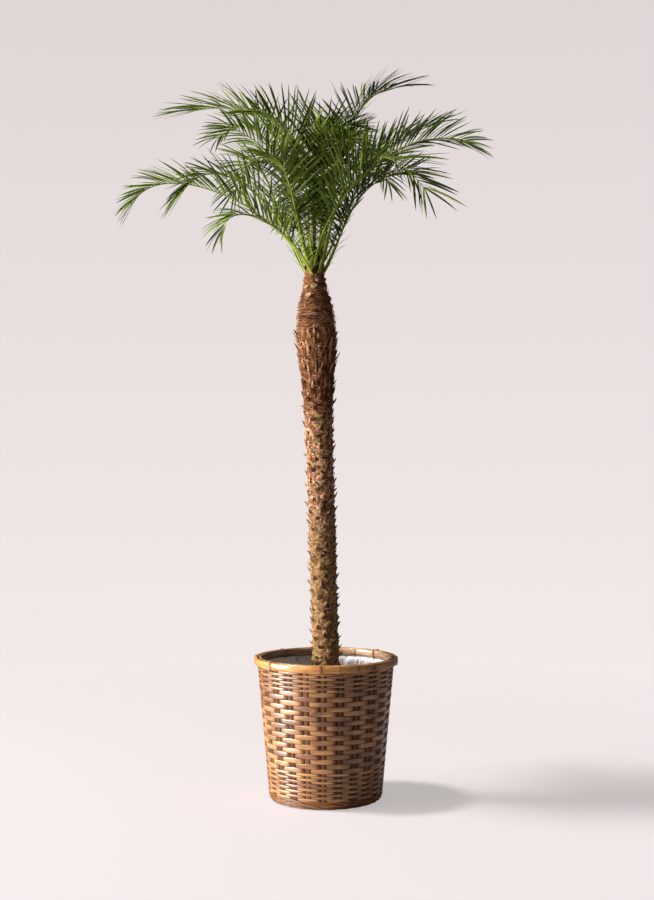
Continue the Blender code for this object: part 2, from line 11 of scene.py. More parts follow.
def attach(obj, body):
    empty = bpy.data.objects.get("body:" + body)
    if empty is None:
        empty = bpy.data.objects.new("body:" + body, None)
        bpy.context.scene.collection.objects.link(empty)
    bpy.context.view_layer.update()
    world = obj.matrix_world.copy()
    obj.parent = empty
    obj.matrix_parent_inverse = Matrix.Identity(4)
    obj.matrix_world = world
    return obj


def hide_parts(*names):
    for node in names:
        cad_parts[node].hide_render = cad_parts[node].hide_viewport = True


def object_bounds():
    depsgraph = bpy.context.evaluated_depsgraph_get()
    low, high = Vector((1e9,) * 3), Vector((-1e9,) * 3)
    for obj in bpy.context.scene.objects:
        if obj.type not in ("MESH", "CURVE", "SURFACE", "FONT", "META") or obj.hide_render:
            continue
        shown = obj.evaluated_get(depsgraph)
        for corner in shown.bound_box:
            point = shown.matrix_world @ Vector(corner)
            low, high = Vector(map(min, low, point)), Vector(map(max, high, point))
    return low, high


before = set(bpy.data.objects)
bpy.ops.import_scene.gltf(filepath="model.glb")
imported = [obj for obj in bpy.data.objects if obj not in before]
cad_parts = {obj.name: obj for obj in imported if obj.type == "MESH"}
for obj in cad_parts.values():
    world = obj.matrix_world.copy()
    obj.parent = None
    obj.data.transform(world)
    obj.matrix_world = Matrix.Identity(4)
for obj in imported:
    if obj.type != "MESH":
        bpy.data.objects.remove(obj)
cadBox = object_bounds()
scene = bpy.context.scene
print("frame loaded")


# small helpers for meshes

def compass(degrees):
    return Vector((math.cos(math.radians(degrees)), math.sin(math.radians(degrees)), 0))


def between(ends, share):
    return ends[0] + (ends[1] - ends[0]) * share


def facing(front):  # outward and sideways, at an angle from the front towards +X
    away = compass(front - 90)
    return away, Vector((-away.y, away.x, 0))


def smoothStep(low, high, value):
    share = min(max((value - low) / (high - low), 0), 1)
    return share * share * (3 - 2 * share)


def wrapRound(bm, order=(0, 1)):  # UV of height and turn, in either order, each face kept whole
    layer = bm.loops.layers.uv.verify()
    for face in bm.faces:
        turns = [math.atan2(loop.vert.co.y, loop.vert.co.x) / math.tau for loop in face.loops]
        for loop, turn in zip(face.loops, turns):
            place = (loop.vert.co.z, turn + (max(turns) - turn > 0.5))
            loop[layer].uv = (place[order[0]], place[order[1]])


def addOutline(bm, points, closed=False):  # points are radius and height
    corners = [bm.verts.new((radius, 0, z)) for radius, z in points]
    others = corners[-1:] + corners[:-1] if closed else corners[1:]
    return [bm.edges.new(pair) for pair in zip(corners, others)]


def spinRound(bm, steps, apart=0.00005):  # a full turn about Z, with the seam and the poles closed
    bmesh.ops.spin(
        bm, geom=list(bm.verts) + list(bm.edges), axis=(0, 0, 1), cent=(0, 0, 0),
        angle=math.tau, steps=steps, use_merge=True,
    )
    bmesh.ops.remove_doubles(bm, verts=bm.verts, dist=apart)
    bmesh.ops.recalc_face_normals(bm, faces=bm.faces)


blanks = {}


def tubeBlank(sides, rings):  # closed tube of radius 1 from z 0 to 1, bent and sized piece by piece
    key = ("tube", sides, rings)
    if key not in blanks:
        bm = bmesh.new()
        bmesh.ops.create_cone(bm, cap_ends=True, segments=sides, radius1=1, radius2=1, depth=1)
        bmesh.ops.translate(bm, verts=bm.verts, vec=(0, 0, 0.5))
        upright = [e for e in bm.edges if abs(e.verts[0].co.z - e.verts[1].co.z) > 0.5]
        bmesh.ops.subdivide_edges(bm, edges=upright, cuts=rings - 2, use_grid_fill=True)
        wrapRound(bm)
        blanks[key] = bpy.data.meshes.new(f"tube {sides} by {rings}")
        bm.to_mesh(blanks[key])
        bm.free()
    return blanks[key]


def bandBlank(steps, section):  # closed ring: z is across, and the radius is 1 to 1.1 through its thickness
    key = ("band", steps, len(section))
    if key not in blanks:
        bm = bmesh.new()
        addOutline(bm, [(1 + 0.1 * deep, across) for deep, across in section], closed=True)
        spinRound(bm, steps, 0.0001)
        wrapRound(bm, (1, 0))
        blanks[key] = bpy.data.meshes.new(f"band {steps}")
        bm.to_mesh(blanks[key])
        bm.free()
    return blanks[key]


def onBand(point):  # angle round a band, and 0 to 1 through its thickness
    return math.atan2(point.y, point.x), (math.hypot(point.x, point.y) - 1) * 10


def lengthwise(point):
    return point.z


def turnOutwards(faces):  # a shape can mirror its blank
    origin = faces[0].verts[0].co.copy()
    volume = 0.0
    for face in faces:
        first, *others = [vert.co - origin for vert in face.verts]
        volume += sum(first.dot(here.cross(after)) for here, after in zip(others, others[1:]))
    if volume < 0:
        for face in faces:
            face.normal_flip()


def addBlank(bm, blank, shape, **values):  # values are floats, or functions of the blank's point
    layers = {name: bm.verts.layers.float.get(name) or bm.verts.layers.float.new(name) for name in values}
    count, faceCount = len(bm.verts), len(bm.faces)
    bm.from_mesh(blank)
    bm.verts.ensure_lookup_table()
    bm.faces.ensure_lookup_table()
    for vert in bm.verts[count:]:
        for name, value in values.items():
            vert[layers[name]] = value(vert.co) if callable(value) else value
        vert.co = shape(vert.co)
    turnOutwards(bm.faces[faceCount:])


def addTube(bm, path, size, sides=6, rings=8, side=None, **values):
    # path and size are functions of the share of the length, and size gives half widths
    def shape(point):
        here = path(point.z)
        along = (path(min(point.z + 0.01, 1)) - path(max(point.z - 0.01, 0))).normalized()
        across = along.cross(side or Vector((0.13, 0.21, 0.97)))
        across.normalize()
        other = across.cross(along)
        wide, thick = size(point.z)
        return here + across * point.x * wide + other * point.y * thick

    addBlank(bm, tubeBlank(sides, rings), shape, **values)


def finishPiece(name, bm, material, replaced, sharp=35):
    mesh = bpy.data.meshes.new(name)
    bm.to_mesh(mesh)
    bm.free()
    mesh.shade_smooth()
    mesh.set_sharp_from_angle(angle=math.radians(sharp))
    mesh.materials.append(material)
    piece = bpy.data.objects.new(name, mesh)
    scene.collection.objects.link(piece)
    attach(piece, "root")
    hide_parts(*replaced)
    print(name, len(mesh.polygons), "faces")
    return piece


# materials

class Wire:  # a socket that can stand in a sum
    def __init__(self, finish, socket):
        self.finish = finish
        self.socket = socket

    def maths(self, operation, *values):
        return self.finish.add("Math", {"operation": operation}, dict(enumerate(values)))

    def __add__(self, other):
        return self.maths("ADD", self, other)

    def __sub__(self, other):
        return self.maths("SUBTRACT", self, other)

    def __rsub__(self, other):
        return self.maths("SUBTRACT", other, self)

    def __mul__(self, other):
        return self.maths("MULTIPLY", self, other)

    __radd__ = __add__
    __rmul__ = __mul__


class Finish:  # one material and its nodes
    def __init__(self, name, **constants):
        self.material = bpy.data.materials.new(name)
        self.material.use_nodes = True
        self.tree = self.material.node_tree
        self.shader = self.tree.nodes["Principled BSDF"]
        for socket, value in constants.items():
            self.shader.inputs[socket.replace("_", " ")].default_value = value

    def add(self, kind, settings=None, values=None, out=0):
        node = self.tree.nodes.new("ShaderNode" + kind)
        for key, value in (settings or {}).items():
            if key == "stops":
                while len(node.color_ramp.elements) < len(value):
                    node.color_ramp.elements.new(0.5)
                for element, (place, colour) in zip(node.color_ramp.elements, value):
                    element.position = place
                    element.color = (*colour, 1)
            else:
                setattr(node, key, value)
        for key, value in (values or {}).items():
            self.connect(node.inputs[key], value)
        return Wire(self, node.outputs[out])

    def connect(self, socket, value):
        if isinstance(value, Wire):
            self.tree.links.new(value.socket, socket)
        elif isinstance(value, tuple) and socket.type == "RGBA":
            socket.default_value = (*value, 1)
        else:
            socket.default_value = value

    def attribute(self, name):
        return self.add("Attribute", {"attribute_name": name}, out="Fac")

    def place(self, kind="Object", scale=(1, 1, 1), shift=(0, 0, 0)):
        source = self.add("TexCoord", out=kind)
        return self.add("Mapping", values={"Vector": source, "Scale": scale, "Location": shift})

    def noise(self, vector, scale, detail=3.0, roughness=0.55, distortion=0.0):
        values = {
            "Vector": vector, "Scale": scale, "Detail": detail,
            "Roughness": roughness, "Distortion": distortion,
        }
        return self.add("TexNoise", values=values, out="Fac")

    def step(self, value, low, high, start=0.0, end=1.0):
        values = {"Value": value, "From Min": low, "From Max": high, "To Min": start, "To Max": end}
        return self.add("MapRange", {"interpolation_type": "SMOOTHSTEP"}, values)

    def mix(self, factor, first, second, kind="MIX"):
        settings = {"data_type": "RGBA", "blend_type": kind}
        return self.add("Mix", settings, {0: factor, 6: first, 7: second}, out=2)

    def paint(self, colour=None, roughness=None, height=None, bump=(0.3, 0.001)):
        if colour:
            self.connect(self.shader.inputs["Base Color"], colour)
        if roughness:
            self.connect(self.shader.inputs["Roughness"], roughness)
        if height:
            values = {"Height": height, "Strength": bump[0], "Distance": bump[1]}
            relief = self.add("Bump", values=values, out="Normal")
            self.connect(self.shader.inputs["Normal"], relief)
        return self.material


bambooColours = {
    "pale": (0.53, 0.260, 0.080), "middle": (0.235, 0.088, 0.024),
    "dark": (0.110, 0.036, 0.011), "line": (0.038, 0.013, 0.006), "stake": (0.120, 0.054, 0.034),
    # gap is the colour of the painted shade in the gaps beside the stakes
    "gap": (0.018, 0.007, 0.004),
}


def bambooFinish(name, stretch, gloss, stakes=False):
    # u runs along a strip, v across it; the attribute tint is one number for each strip
    finish = Finish(
        name, Coat_Weight=gloss, Coat_Roughness=0.40, Coat_IOR=1.75,
        Specular_IOR_Level=0.15 if stakes else 0.3,
    )
    tint = finish.attribute("tint")
    uv = finish.place("UV", scale=(stretch[0], stretch[1], 1))
    shifted = finish.add("VectorMath", {"operation": "ADD"}, {0: uv, 1: finish.add(
        "CombineXYZ", values={"X": tint * 41.0, "Y": tint * 17.0, "Z": tint * 29.0})})
    long = finish.add("Mapping", values={"Vector": shifted, "Scale": (1.0, 0.2, 1)})
    grain = finish.noise(finish.add("Mapping", values={"Vector": shifted, "Scale": (1, 26, 1)}), 1.5, 4)
    patch = finish.noise(long, 0.9, 2)
    tone = tint * 0.5 + finish.step(patch, 0.38, 0.64) * 0.45 + grain * 0.35 - 0.15
    colour = finish.add("ValToRGB", {"stops": [
        (0.05, bambooColours["dark"]), (0.38, bambooColours["middle"]), (0.85, bambooColours["pale"]),
    ]}, {0: tone})
    mark = finish.step(finish.noise(long, 3.1, 1), 0.70, 0.76)
    colour = finish.mix(mark * 0.55, colour, bambooColours["line"])
    streak = finish.step(grain, 0.28, 0.42, 1, 0)
    colour = finish.mix(streak * 0.45, colour, bambooColours["line"])
    stain = finish.step(finish.noise(finish.place(), 17.0, 2), 0.56, 0.70)
    colour = finish.mix(stain * 0.5, colour, bambooColours["line"])
    if stakes:  # darker, with a shadowed edge and two grooves
        side = finish.add("Math", {"operation": "ABSOLUTE"}, {0: finish.attribute("side")})
        colour = finish.mix(0.72, colour, bambooColours["stake"])
        # painted shade along both edges of each stake and in its two grooves
        groove = finish.step(side, 0.24, 0.32) * finish.step(side, 0.42, 0.34)
        shadow = groove * 0.7 + finish.step(side, 0.72, 0.98) * 0.9
        colour = finish.mix(shadow, colour, bambooColours["line"])
    else:
        # painted shade: a strip is painted darker as it dives under a stake, and near-black in the gap
        # beside the stake
        ending = finish.attribute("ending")
        gapShade = finish.step(ending, 0.55, 0.95)
        colour = finish.mix(finish.step(ending, 0.0, 0.6) * 0.38, colour, bambooColours["dark"])
        colour = finish.mix(gapShade * 0.92, colour, bambooColours["gap"])
        finish.connect(finish.shader.inputs["Coat Weight"], finish.step(ending, 0.45, 0.0, 0.0, gloss))
    rough = finish.step(grain, 0.3, 0.8, 0.48, 0.34) + (0 if stakes else gapShade * 0.4)
    return finish.paint(colour, rough, grain, (0.35, 0.0006))


hoopColours = {
    "outer": ((0.29, 0.105, 0.026), (0.54, 0.235, 0.060), (0.74, 0.41, 0.14)),
    "inner": ((0.26, 0.120, 0.060), (0.52, 0.300, 0.150), (0.74, 0.53, 0.34)),
    # this dark colour serves the real joints of the cane and the painted shade over broad stretches
    "joint": (0.085, 0.036, 0.016),
}


def hoopFinish(name, dark, middle, pale):
    finish = Finish(name, Coat_Weight=0.45, Coat_Roughness=0.16)
    uv = finish.place("UV", scale=(60, 4, 1))
    grain = finish.noise(finish.add("Mapping", values={"Vector": uv, "Scale": (0.12, 12, 1)}), 2.0, 4)
    patch = finish.noise(uv, 0.35, 2)
    tone = finish.step(patch, 0.3, 0.7) * 0.5 + grain * 0.5
    colour = finish.add("ValToRGB", {"stops": [(0.1, dark), (0.45, middle), (0.85, pale)]}, {0: tone})
    # darker at the cane's joints and seams, and over broad stretches where shade is painted
    colour = finish.mix(finish.attribute("joint"), colour, hoopColours["joint"])
    return finish.paint(colour, finish.step(grain, 0.3, 0.8, 0.42, 0.28), grain, (0.25, 0.0005))


rattanColours = {"dark": (0.16, 0.050, 0.020), "pale": (0.46, 0.20, 0.085)}


def rattanFinish():
    finish = Finish("rattan", Roughness=0.45)
    wood = finish.noise(finish.place(), 420.0, 3)
    colour = finish.mix(finish.step(wood, 0.3, 0.7), rattanColours["dark"], rattanColours["pale"])
    return finish.paint(colour, None, wood, (0.3, 0.0004))


linerColours = {
    # fold is the colour of the painted shade in the film's folds, and crease of a painted highlight on its
    # creases
    "film": (0.94, 0.92, 0.94), "dull": (0.66, 0.62, 0.65), "fold": (0.34, 0.28, 0.33),
    "crease": (0.93, 0.91, 0.95), "low": (0.34, 0.29, 0.25), "lowHeights": (0.312, 0.290),
}


def linerFinish():
    finish = Finish("white liner film", Coat_Weight=0.15, Coat_Roughness=0.25)
    place = finish.place()
    crease = finish.noise(place, 95.0, 4, 0.6, 1.4)
    dirt = finish.noise(place, 24.0, 3)
    colour = finish.mix(finish.step(dirt, 0.48, 0.75), linerColours["film"], linerColours["dull"])
    # painted shade in the folds of the film
    crumpleShade = finish.noise(finish.place(scale=(1, 1, 0.55)), 62.0, 3, 0.6, 2.2)
    colour = finish.mix(finish.step(crumpleShade, 0.46, 0.39) * 0.65, colour, linerColours["fold"])
    # painted highlight along the creases
    colour = finish.mix(finish.step(crease, 0.58, 0.66) * 0.7, colour, linerColours["crease"])
    height = finish.add("SeparateXYZ", values={"Vector": place}, out="Z")
    nearSoil = finish.step(height, *linerColours["lowHeights"])
    colour = finish.mix(nearSoil, colour, linerColours["low"])
    return finish.paint(colour, finish.step(crease, 0.3, 0.7, 0.30, 0.5), crease, (0.6, 0.0015))


soilColours = {"dark": (0.018, 0.011, 0.007), "pale": (0.075, 0.045, 0.028), "bark": (0.20, 0.125, 0.075)}


def soilFinish():
    finish = Finish("potting soil", Roughness=0.95)
    place = finish.place()
    crumbs = finish.noise(place, 240.0, 5, 0.7)
    tint = finish.attribute("tint")
    colour = finish.mix(finish.step(crumbs, 0.35, 0.7), soilColours["dark"], soilColours["pale"])
    colour = finish.mix(finish.step(tint, 0.75, 0.95), colour, soilColours["bark"])
    return finish.paint(colour, None, crumbs, (0.8, 0.0015))


barkColours = {
    "low": (0.180, 0.094, 0.040), "lowPale": (0.47, 0.285, 0.135),
    "middle": (0.145, 0.054, 0.022), "middlePale": (0.90, 0.55, 0.33),
    "high": (0.115, 0.040, 0.017), "highPale": (0.34, 0.150, 0.070),
    # crevice is the painted shade in the bark's hollows and under the pegs; the pale colours serve real pale
    # blotches and painted highlight on raised bark
    "creviceShade": (0.042, 0.020, 0.010), "burnt": (0.065, 0.028, 0.013), "neck": (0.060, 0.075, 0.014),
    "red": (0.33, 0.115, 0.040), "yellow": (0.55, 0.50, 0.10), "orange": (0.52, 0.17, 0.035),
    "moss": (0.145, 0.120, 0.030),
    # heights where the low bark gives way to the middle, the middle to the high, and the high to the neck
    "toMiddle": (0.66, 0.80), "toHigh": (0.93, 1.02), "toNeck": (1.356, 1.372),
}


def barkFinish():
    finish = Finish("palm bark", Specular_IOR_Level=0.12)
    place = finish.place()
    height = finish.add("SeparateXYZ", values={"Vector": place}, out="Z")
    wander = finish.noise(place, 14.0, 3)
    level = height + wander * 0.16 - 0.08
    toMiddle = finish.step(level, *barkColours["toMiddle"])
    toHigh = finish.step(level, *barkColours["toHigh"])
    blotch = finish.step(finish.noise(place, 105.0, 5, 0.68), 0.45, 0.61)
    base = finish.mix(toMiddle, barkColours["low"], barkColours["middle"])
    base = finish.mix(toHigh, base, barkColours["high"])
    pale = finish.mix(toMiddle, barkColours["lowPale"], barkColours["middlePale"])
    pale = finish.mix(toHigh, pale, barkColours["highPale"])
    relief = finish.attribute("relief")
    tint = finish.attribute("tint")
    # pale blotches, and a painted highlight on raised bark and on the tops of the pegs
    colour = finish.mix(blotch * 0.55 + finish.step(relief, 0.55, 1.0) * 0.45, base, pale)
    redder = finish.step(finish.noise(place, 33.0, 3), 0.5, 0.7)
    colour = finish.mix(redder * toHigh * 0.4, colour, barkColours["red"])
    spot = finish.noise(place, 62.0, 1, 0.4)
    band = finish.step(level, 0.80, 0.88) * finish.step(level, 1.02, 0.97)
    colour = finish.mix(finish.step(spot, 0.66, 0.70) * band * 0.85, colour, barkColours["yellow"])
    ember = finish.noise(finish.place(shift=(0.31, 0.17, 0.05)), 55.0, 1, 0.4)
    colour = finish.mix(finish.step(ember, 0.66, 0.71) * band * 0.8, colour, barkColours["orange"])
    moss = finish.step(finish.noise(place, 21.0, 3), 0.5, 0.72) * finish.step(level, 0.72, 0.6)
    colour = finish.mix(moss * 0.55, colour, barkColours["moss"])
    # painted shade in the hollows of the bark and under the pegs
    colour = finish.mix(finish.step(relief, 0.42, 0.05) * 0.9, colour, barkColours["creviceShade"])
    colour = finish.mix(finish.step(tint, 0.45, 1.0) * 0.7, colour, barkColours["burnt"])
    colour = finish.mix(finish.step(height, *barkColours["toNeck"]) * 0.9, colour, barkColours["neck"])
    grain = finish.noise(finish.place(scale=(1, 1, 0.45)), 520.0, 5, 0.65)
    coarse = finish.noise(place, 160.0, 4, 0.6)
    rough = finish.step(coarse, 0.3, 0.7, 0.75, 0.95)
    return finish.paint(colour, rough, grain * 0.5 + coarse, (0.75, 0.0022))


fibreColours = {
    # root is the colour of the painted shade at a stub's root
    "root": (0.030, 0.011, 0.005), "dark": (0.105, 0.038, 0.016), "brown": (0.32, 0.130, 0.050),
    "tan": (0.56, 0.28, 0.120), "pale": (0.82, 0.54, 0.34),
}


def fibreFinish():
    # tall is 0 at the root of a stub and 1 at its broken end, tint is one number for each
    finish = Finish("stem fibre", Roughness=0.85, Specular_IOR_Level=0.15)
    tint, tall = finish.attribute("tint"), finish.attribute("tall")
    strands = finish.noise(finish.place(scale=(1, 1, 0.12)), 900.0, 3, 0.6)
    worn = finish.noise(finish.place(), 130.0, 3, 0.6)
    tone = tint * 0.62 + worn * 0.55 + tall * 0.20 - 0.20
    colour = finish.add("ValToRGB", {"stops": [
        (0.05, fibreColours["dark"]), (0.38, fibreColours["brown"]),
        (0.66, fibreColours["tan"]), (0.95, fibreColours["pale"]),
    ]}, {0: tone})
    colour = finish.mix(finish.step(strands, 0.52, 0.35) * 0.7, colour, fibreColours["dark"])
    # painted shade: tall makes each stub darker towards its root, near-black where it meets the stem
    colour = finish.mix(finish.step(tall, 0.45, 0.0) * 0.85, colour, fibreColours["root"])
    return finish.paint(colour, None, strands + worn * 0.5, (0.7, 0.0014))


scarColours = {
    "dark": (0.34, 0.18, 0.105), "pale": (0.80, 0.62, 0.48), "green": (0.50, 0.46, 0.090),
    "brown": (0.26, 0.16, 0.055), "edge": (0.20, 0.095, 0.045),
}


def scarFinish():
    # rim is 0 on a cut face, 0.5 on a young leaf base and over 1 at a cut's foot
    finish = Finish("cut leaf base", Roughness=0.8)
    rim = finish.attribute("rim")
    mottle = finish.noise(finish.place(), 420.0, 3)
    face = finish.mix(finish.step(mottle, 0.35, 0.65), scarColours["dark"], scarColours["pale"])
    green = finish.mix(finish.step(mottle, 0.42, 0.62), scarColours["green"], scarColours["brown"])
    colour = finish.mix(finish.step(rim, 0.15, 0.5), face, green)
    colour = finish.mix(finish.step(rim, 0.6, 0.95), colour, scarColours["edge"])
    return finish.paint(colour, None, mottle, (0.5, 0.001))


leafColours = {
    "deep": (0.003, 0.012, 0.0006), "fresh": (0.180, 0.265, 0.008), "under": (0.052, 0.082, 0.008),
    "stalk": (0.27, 0.34, 0.030), "stalkTip": (0.12, 0.185, 0.018), "tip": (0.42, 0.20, 0.035),
}


def leafFinish():
    # along is 0 at a leaflet's root and 1 at its tip, stalk is 1 on the rachis,
    # and tint is one number for each leaflet
    finish = Finish(
        "palm leaf", Specular_IOR_Level=0.28, Subsurface_Weight=0.08,
        Subsurface_Radius=(0.0020, 0.0028, 0.0006), Subsurface_Scale=1.0,
    )
    along, stalk, tint = (finish.attribute(name) for name in ("along", "stalk", "tint"))
    place = finish.place()
    patch = finish.noise(place, 18.0, 2)
    # tint carries each frond's painted light, lighter on the left fronds, and a random tone for each leaflet
    colour = finish.mix(
        finish.step(tint + patch * 0.5 - 0.25, 0.0, 1.0), leafColours["deep"], leafColours["fresh"]
    )
    upward = finish.add("SeparateXYZ", values={"Vector": finish.add("TexCoord", out="Normal")}, out="Z")
    colour = finish.mix(finish.step(upward, 0.1, -0.6) * 0.55, colour, leafColours["under"])
    colour = finish.mix(finish.step(along, 0.25, 0.0) * 0.35, colour, leafColours["stalk"])
    dry = finish.step(along, 0.90, 0.985) * finish.step(tint * 7.3 - patch * 3.0, 3.6, 4.2)
    colour = finish.mix(dry * 0.9, colour, leafColours["tip"])
    green = finish.mix(along, leafColours["stalk"], leafColours["stalkTip"])
    colour = finish.mix(stalk, colour, green)
    veins = finish.noise(place, 700.0, 2)
    return finish.paint(colour, finish.step(patch, 0.3, 0.7, 0.42, 0.56), veins, (0.12, 0.0004))


spearColours = {"low": (0.46, 0.47, 0.20), "high": (0.22, 0.34, 0.07), "fold": (0.13, 0.20, 0.05)}


def spearFinish():
    finish = Finish("spear leaf")
    along = finish.attribute("along")
    folds = finish.noise(finish.place(scale=(1, 1, 0.03)), 1100.0, 2)
    colour = finish.mix(along, spearColours["low"], spearColours["high"])
    colour = finish.mix(finish.step(folds, 0.45, 0.65) * 0.5, colour, spearColours["fold"])
    return finish.paint(colour, finish.step(folds, 0.3, 0.7, 0.35, 0.5), folds, (0.5, 0.0008))


spatheColours = {"dark": (0.13, 0.055, 0.026), "pale": (0.36, 0.20, 0.10)}


def spatheFinish():
    finish = Finish("dry spathe", Roughness=0.75)
    fibres = finish.noise(finish.place(scale=(1, 1, 0.05)), 900.0, 3)
    colour = finish.mix(finish.step(fibres, 0.3, 0.7), spatheColours["dark"], spatheColours["pale"])
    return finish.paint(colour, None, fibres, (0.6, 0.001))


stripBamboo = bambooFinish("bamboo strips", (17, 1.5), 1.0)
stakeBamboo = bambooFinish("bamboo stakes", (9, 6), 0.0, True)
outerBamboo = hoopFinish("outer hoop bamboo", *hoopColours["outer"])
innerBamboo = hoopFinish("inner hoop bamboo", *hoopColours["inner"])
rattan = rattanFinish()
linerFilm = linerFinish()
soilEarth = soilFinish()
palmBark = barkFinish()
stemFibre = fibreFinish()
leafBaseCut = scarFinish()
palmLeaf = leafFinish()
spearGreen = spearFinish()
spatheBrown = spatheFinish()
print("materials ready")


# basket: wall of flat strips woven over and under 24 stakes, down round the foot and across the bottom

basket = {
    "height": 0.365, "hoopLow": 0.3455, "highRadius": 0.1785, "lowRadius": 0.1468,
    "footRadius": 0.135, "footHeight": 0.016, "stakes": 24, "turn": -2.5,
    "stakeWidth": 0.012, "stakeThickness": 0.0019, "stripThickness": 0.0019, "clear": 0.0002,
    "narrowTop": (8, 0.0060), "wide": (17, 0.0121), "narrowLow": (11, 0.0064),
    "twined": (6, 0.0048), "bottom": (8, 0.0122), "gap": 0.0004, "seed": 11,
    "firstEdge": 0.0008, "stakeTop": -0.0165, "stepsPerStake": 7, "thinner": 0.8,
    "dive": (0.66, 0.92), "shadow": (0.45, 0.92), "drift": 0.035, "tilt": 0.0003, "ripple": 0.00012,
    "wideTint": (0.28, 0.84), "narrowTint": (0.36, 0.74), "goldenRow": 25, "goldenTint": 1.2,
    "discRadius": 0.036, "discThickness": 0.0022, "discHeight": 0.0043, "discEdge": 0.0006,
}
stripSection = [  # through the thickness, across the strip
    (1.0, 0.0), (0.985, 0.42), (0.93, 0.72), (0.76, 0.91), (0.34, 1.0), (0.0, 0.90),
    (0.0, -0.90), (0.34, -1.0), (0.76, -0.91), (0.93, -0.72), (0.985, -0.42),
]


def wallProfile():  # outer line of the weave from the hoop down, round the foot and in to the middle
    points = []
    for step in range(61):
        z = between((basket["height"], basket["footHeight"]), step / 60)
        share = (z - basket["footHeight"]) / (basket["height"] - basket["footHeight"])
        points.append((between((basket["lowRadius"], basket["highRadius"]), share), z))
    across = basket["lowRadius"] - basket["footRadius"]
    for step in range(1, 17):
        angle = math.pi / 2 * step / 16
        points.append((
            basket["footRadius"] + across * math.cos(angle), basket["footHeight"] * (1 - math.sin(angle)),
        ))
    points += [(basket["footRadius"] * (1 - step / 20), 0.0) for step in range(1, 21)]
    line = np.array(points)
    run = np.concatenate([[0], np.cumsum(np.hypot(*np.diff(line, axis=0).T))])
    return run - (basket["height"] - basket["hoopLow"]), line


profileRun, profileLine = wallProfile()


def profileAt(run):  # radius and height at a distance below the hoop
    return [float(np.interp(run, profileRun, column)) for column in profileLine.T]


def wallPoint(run):  # radius, height and the outward direction of the wall
    radius, z = profileAt(run)
    ahead, back = (profileAt(run + step) for step in (0.0015, -0.0015))
    down = Vector((ahead[0] - back[0], ahead[1] - back[1])).normalized()
    return radius, z, Vector((-down[1], down[0]))


def weaveRows():  # middle of each row below the hoop, its height, and its kind
    rows = []
    edge = basket["firstEdge"]
    for kind in ("narrowTop", "wide", "narrowLow", "twined", "bottom"):
        count, height = basket[kind]
        for _ in range(count):
            rows.append((edge + height / 2, height, kind))
            edge += height
    return rows


def addStrip(bm, number, row, chance):
    run, height, kind = row
    halfStrip = (height - basket["gap"]) / 2
    table = [wallPoint(run + halfStrip * 1.2 * (i / 4 - 1)) for i in range(9)]
    thick = basket["stripThickness"] * (basket["thinner"] if kind != "wide" else 1)
    swing = (basket["stripThickness"] + basket["stakeThickness"] + 2 * basket["clear"]) / 2
    lean = [chance.uniform(-1, 1) for _ in range(basket["stakes"])]
    lift = [chance.uniform(-1, 1) for _ in range(basket["stakes"])]
    turn = math.radians(basket["turn"] - 90)
    wander = chance.uniform(0, 9)

    def fromOver(point):  # 0 in the middle of what shows of the strip, 1 under the next stake
        place = (math.atan2(point.y, point.x) - turn) / math.tau * basket["stakes"]
        return abs((place + number % 2 + 1) % 2 - 1)

    # ending is 1 deep in a strip's dive under a stake; the finish paints shade there
    def endingAt(point):
        return smoothStep(*basket["shadow"], fromOver(point))

    def shape(point):
        angle, deep = onBand(point)
        place = (angle - turn) / math.tau * basket["stakes"]
        near = math.floor(place) % basket["stakes"]
        after = (near + 1) % basket["stakes"]
        part = place - math.floor(place)
        ease = part * part * (3 - 2 * part)
        sunk = smoothStep(*basket["dive"], fromOver(point))
        tall = halfStrip * (1.07 - 0.10 * sunk - 0.08 * ease * (1 - ease) * 4)
        drift = between((lift[near], lift[after]), ease) * height * basket["drift"]
        tilt = between((lean[near], lean[after]), ease) * basket["tilt"]
        down = drift - point.z * tall
        index = (down / (halfStrip * 1.2) + 1) * 4
        low = min(max(int(index), 0), len(table) - 2)
        mixShare = index - low
        first, second = table[low], table[low + 1]
        radius = between((first[0], second[0]), mixShare)
        z = between((first[1], second[1]), mixShare)
        out = first[2].lerp(second[2], min(max(mixShare, 0), 1))
        depth = thick * (1 - deep) + swing * 2 * sunk + tilt * point.z
        depth += basket["ripple"] * math.sin(angle * 3 + wander)
        middle = radius - out[0] * depth
        above = max(z - out[1] * depth, basket["clear"])
        return Vector((middle * math.cos(angle), middle * math.sin(angle), above))

    tint = chance.uniform(*basket["wideTint" if kind == "wide" else "narrowTint"])
    tint += 0.2 * (run / 0.33 - 0.4)  # redder above, more golden below
    if number == basket["goldenRow"]:
        tint = basket["goldenTint"]
    steps = basket["stakes"] * basket["stepsPerStake"]
    addBlank(bm, bandBlank(steps, stripSection), shape, tint=tint, ending=endingAt)


# the twined rows at the foot get low tints and a fixed ending, which paint them darker as painted shade; the
# ending also dulls their coat
twine = {
    "beside": 0.22, "depth": 0.0022, "swing": 0.0012, "half": 0.33, "flat": 0.8,
    "stepsPerStake": 5, "tint": (0.0, 0.5), "ending": 0.34,
}


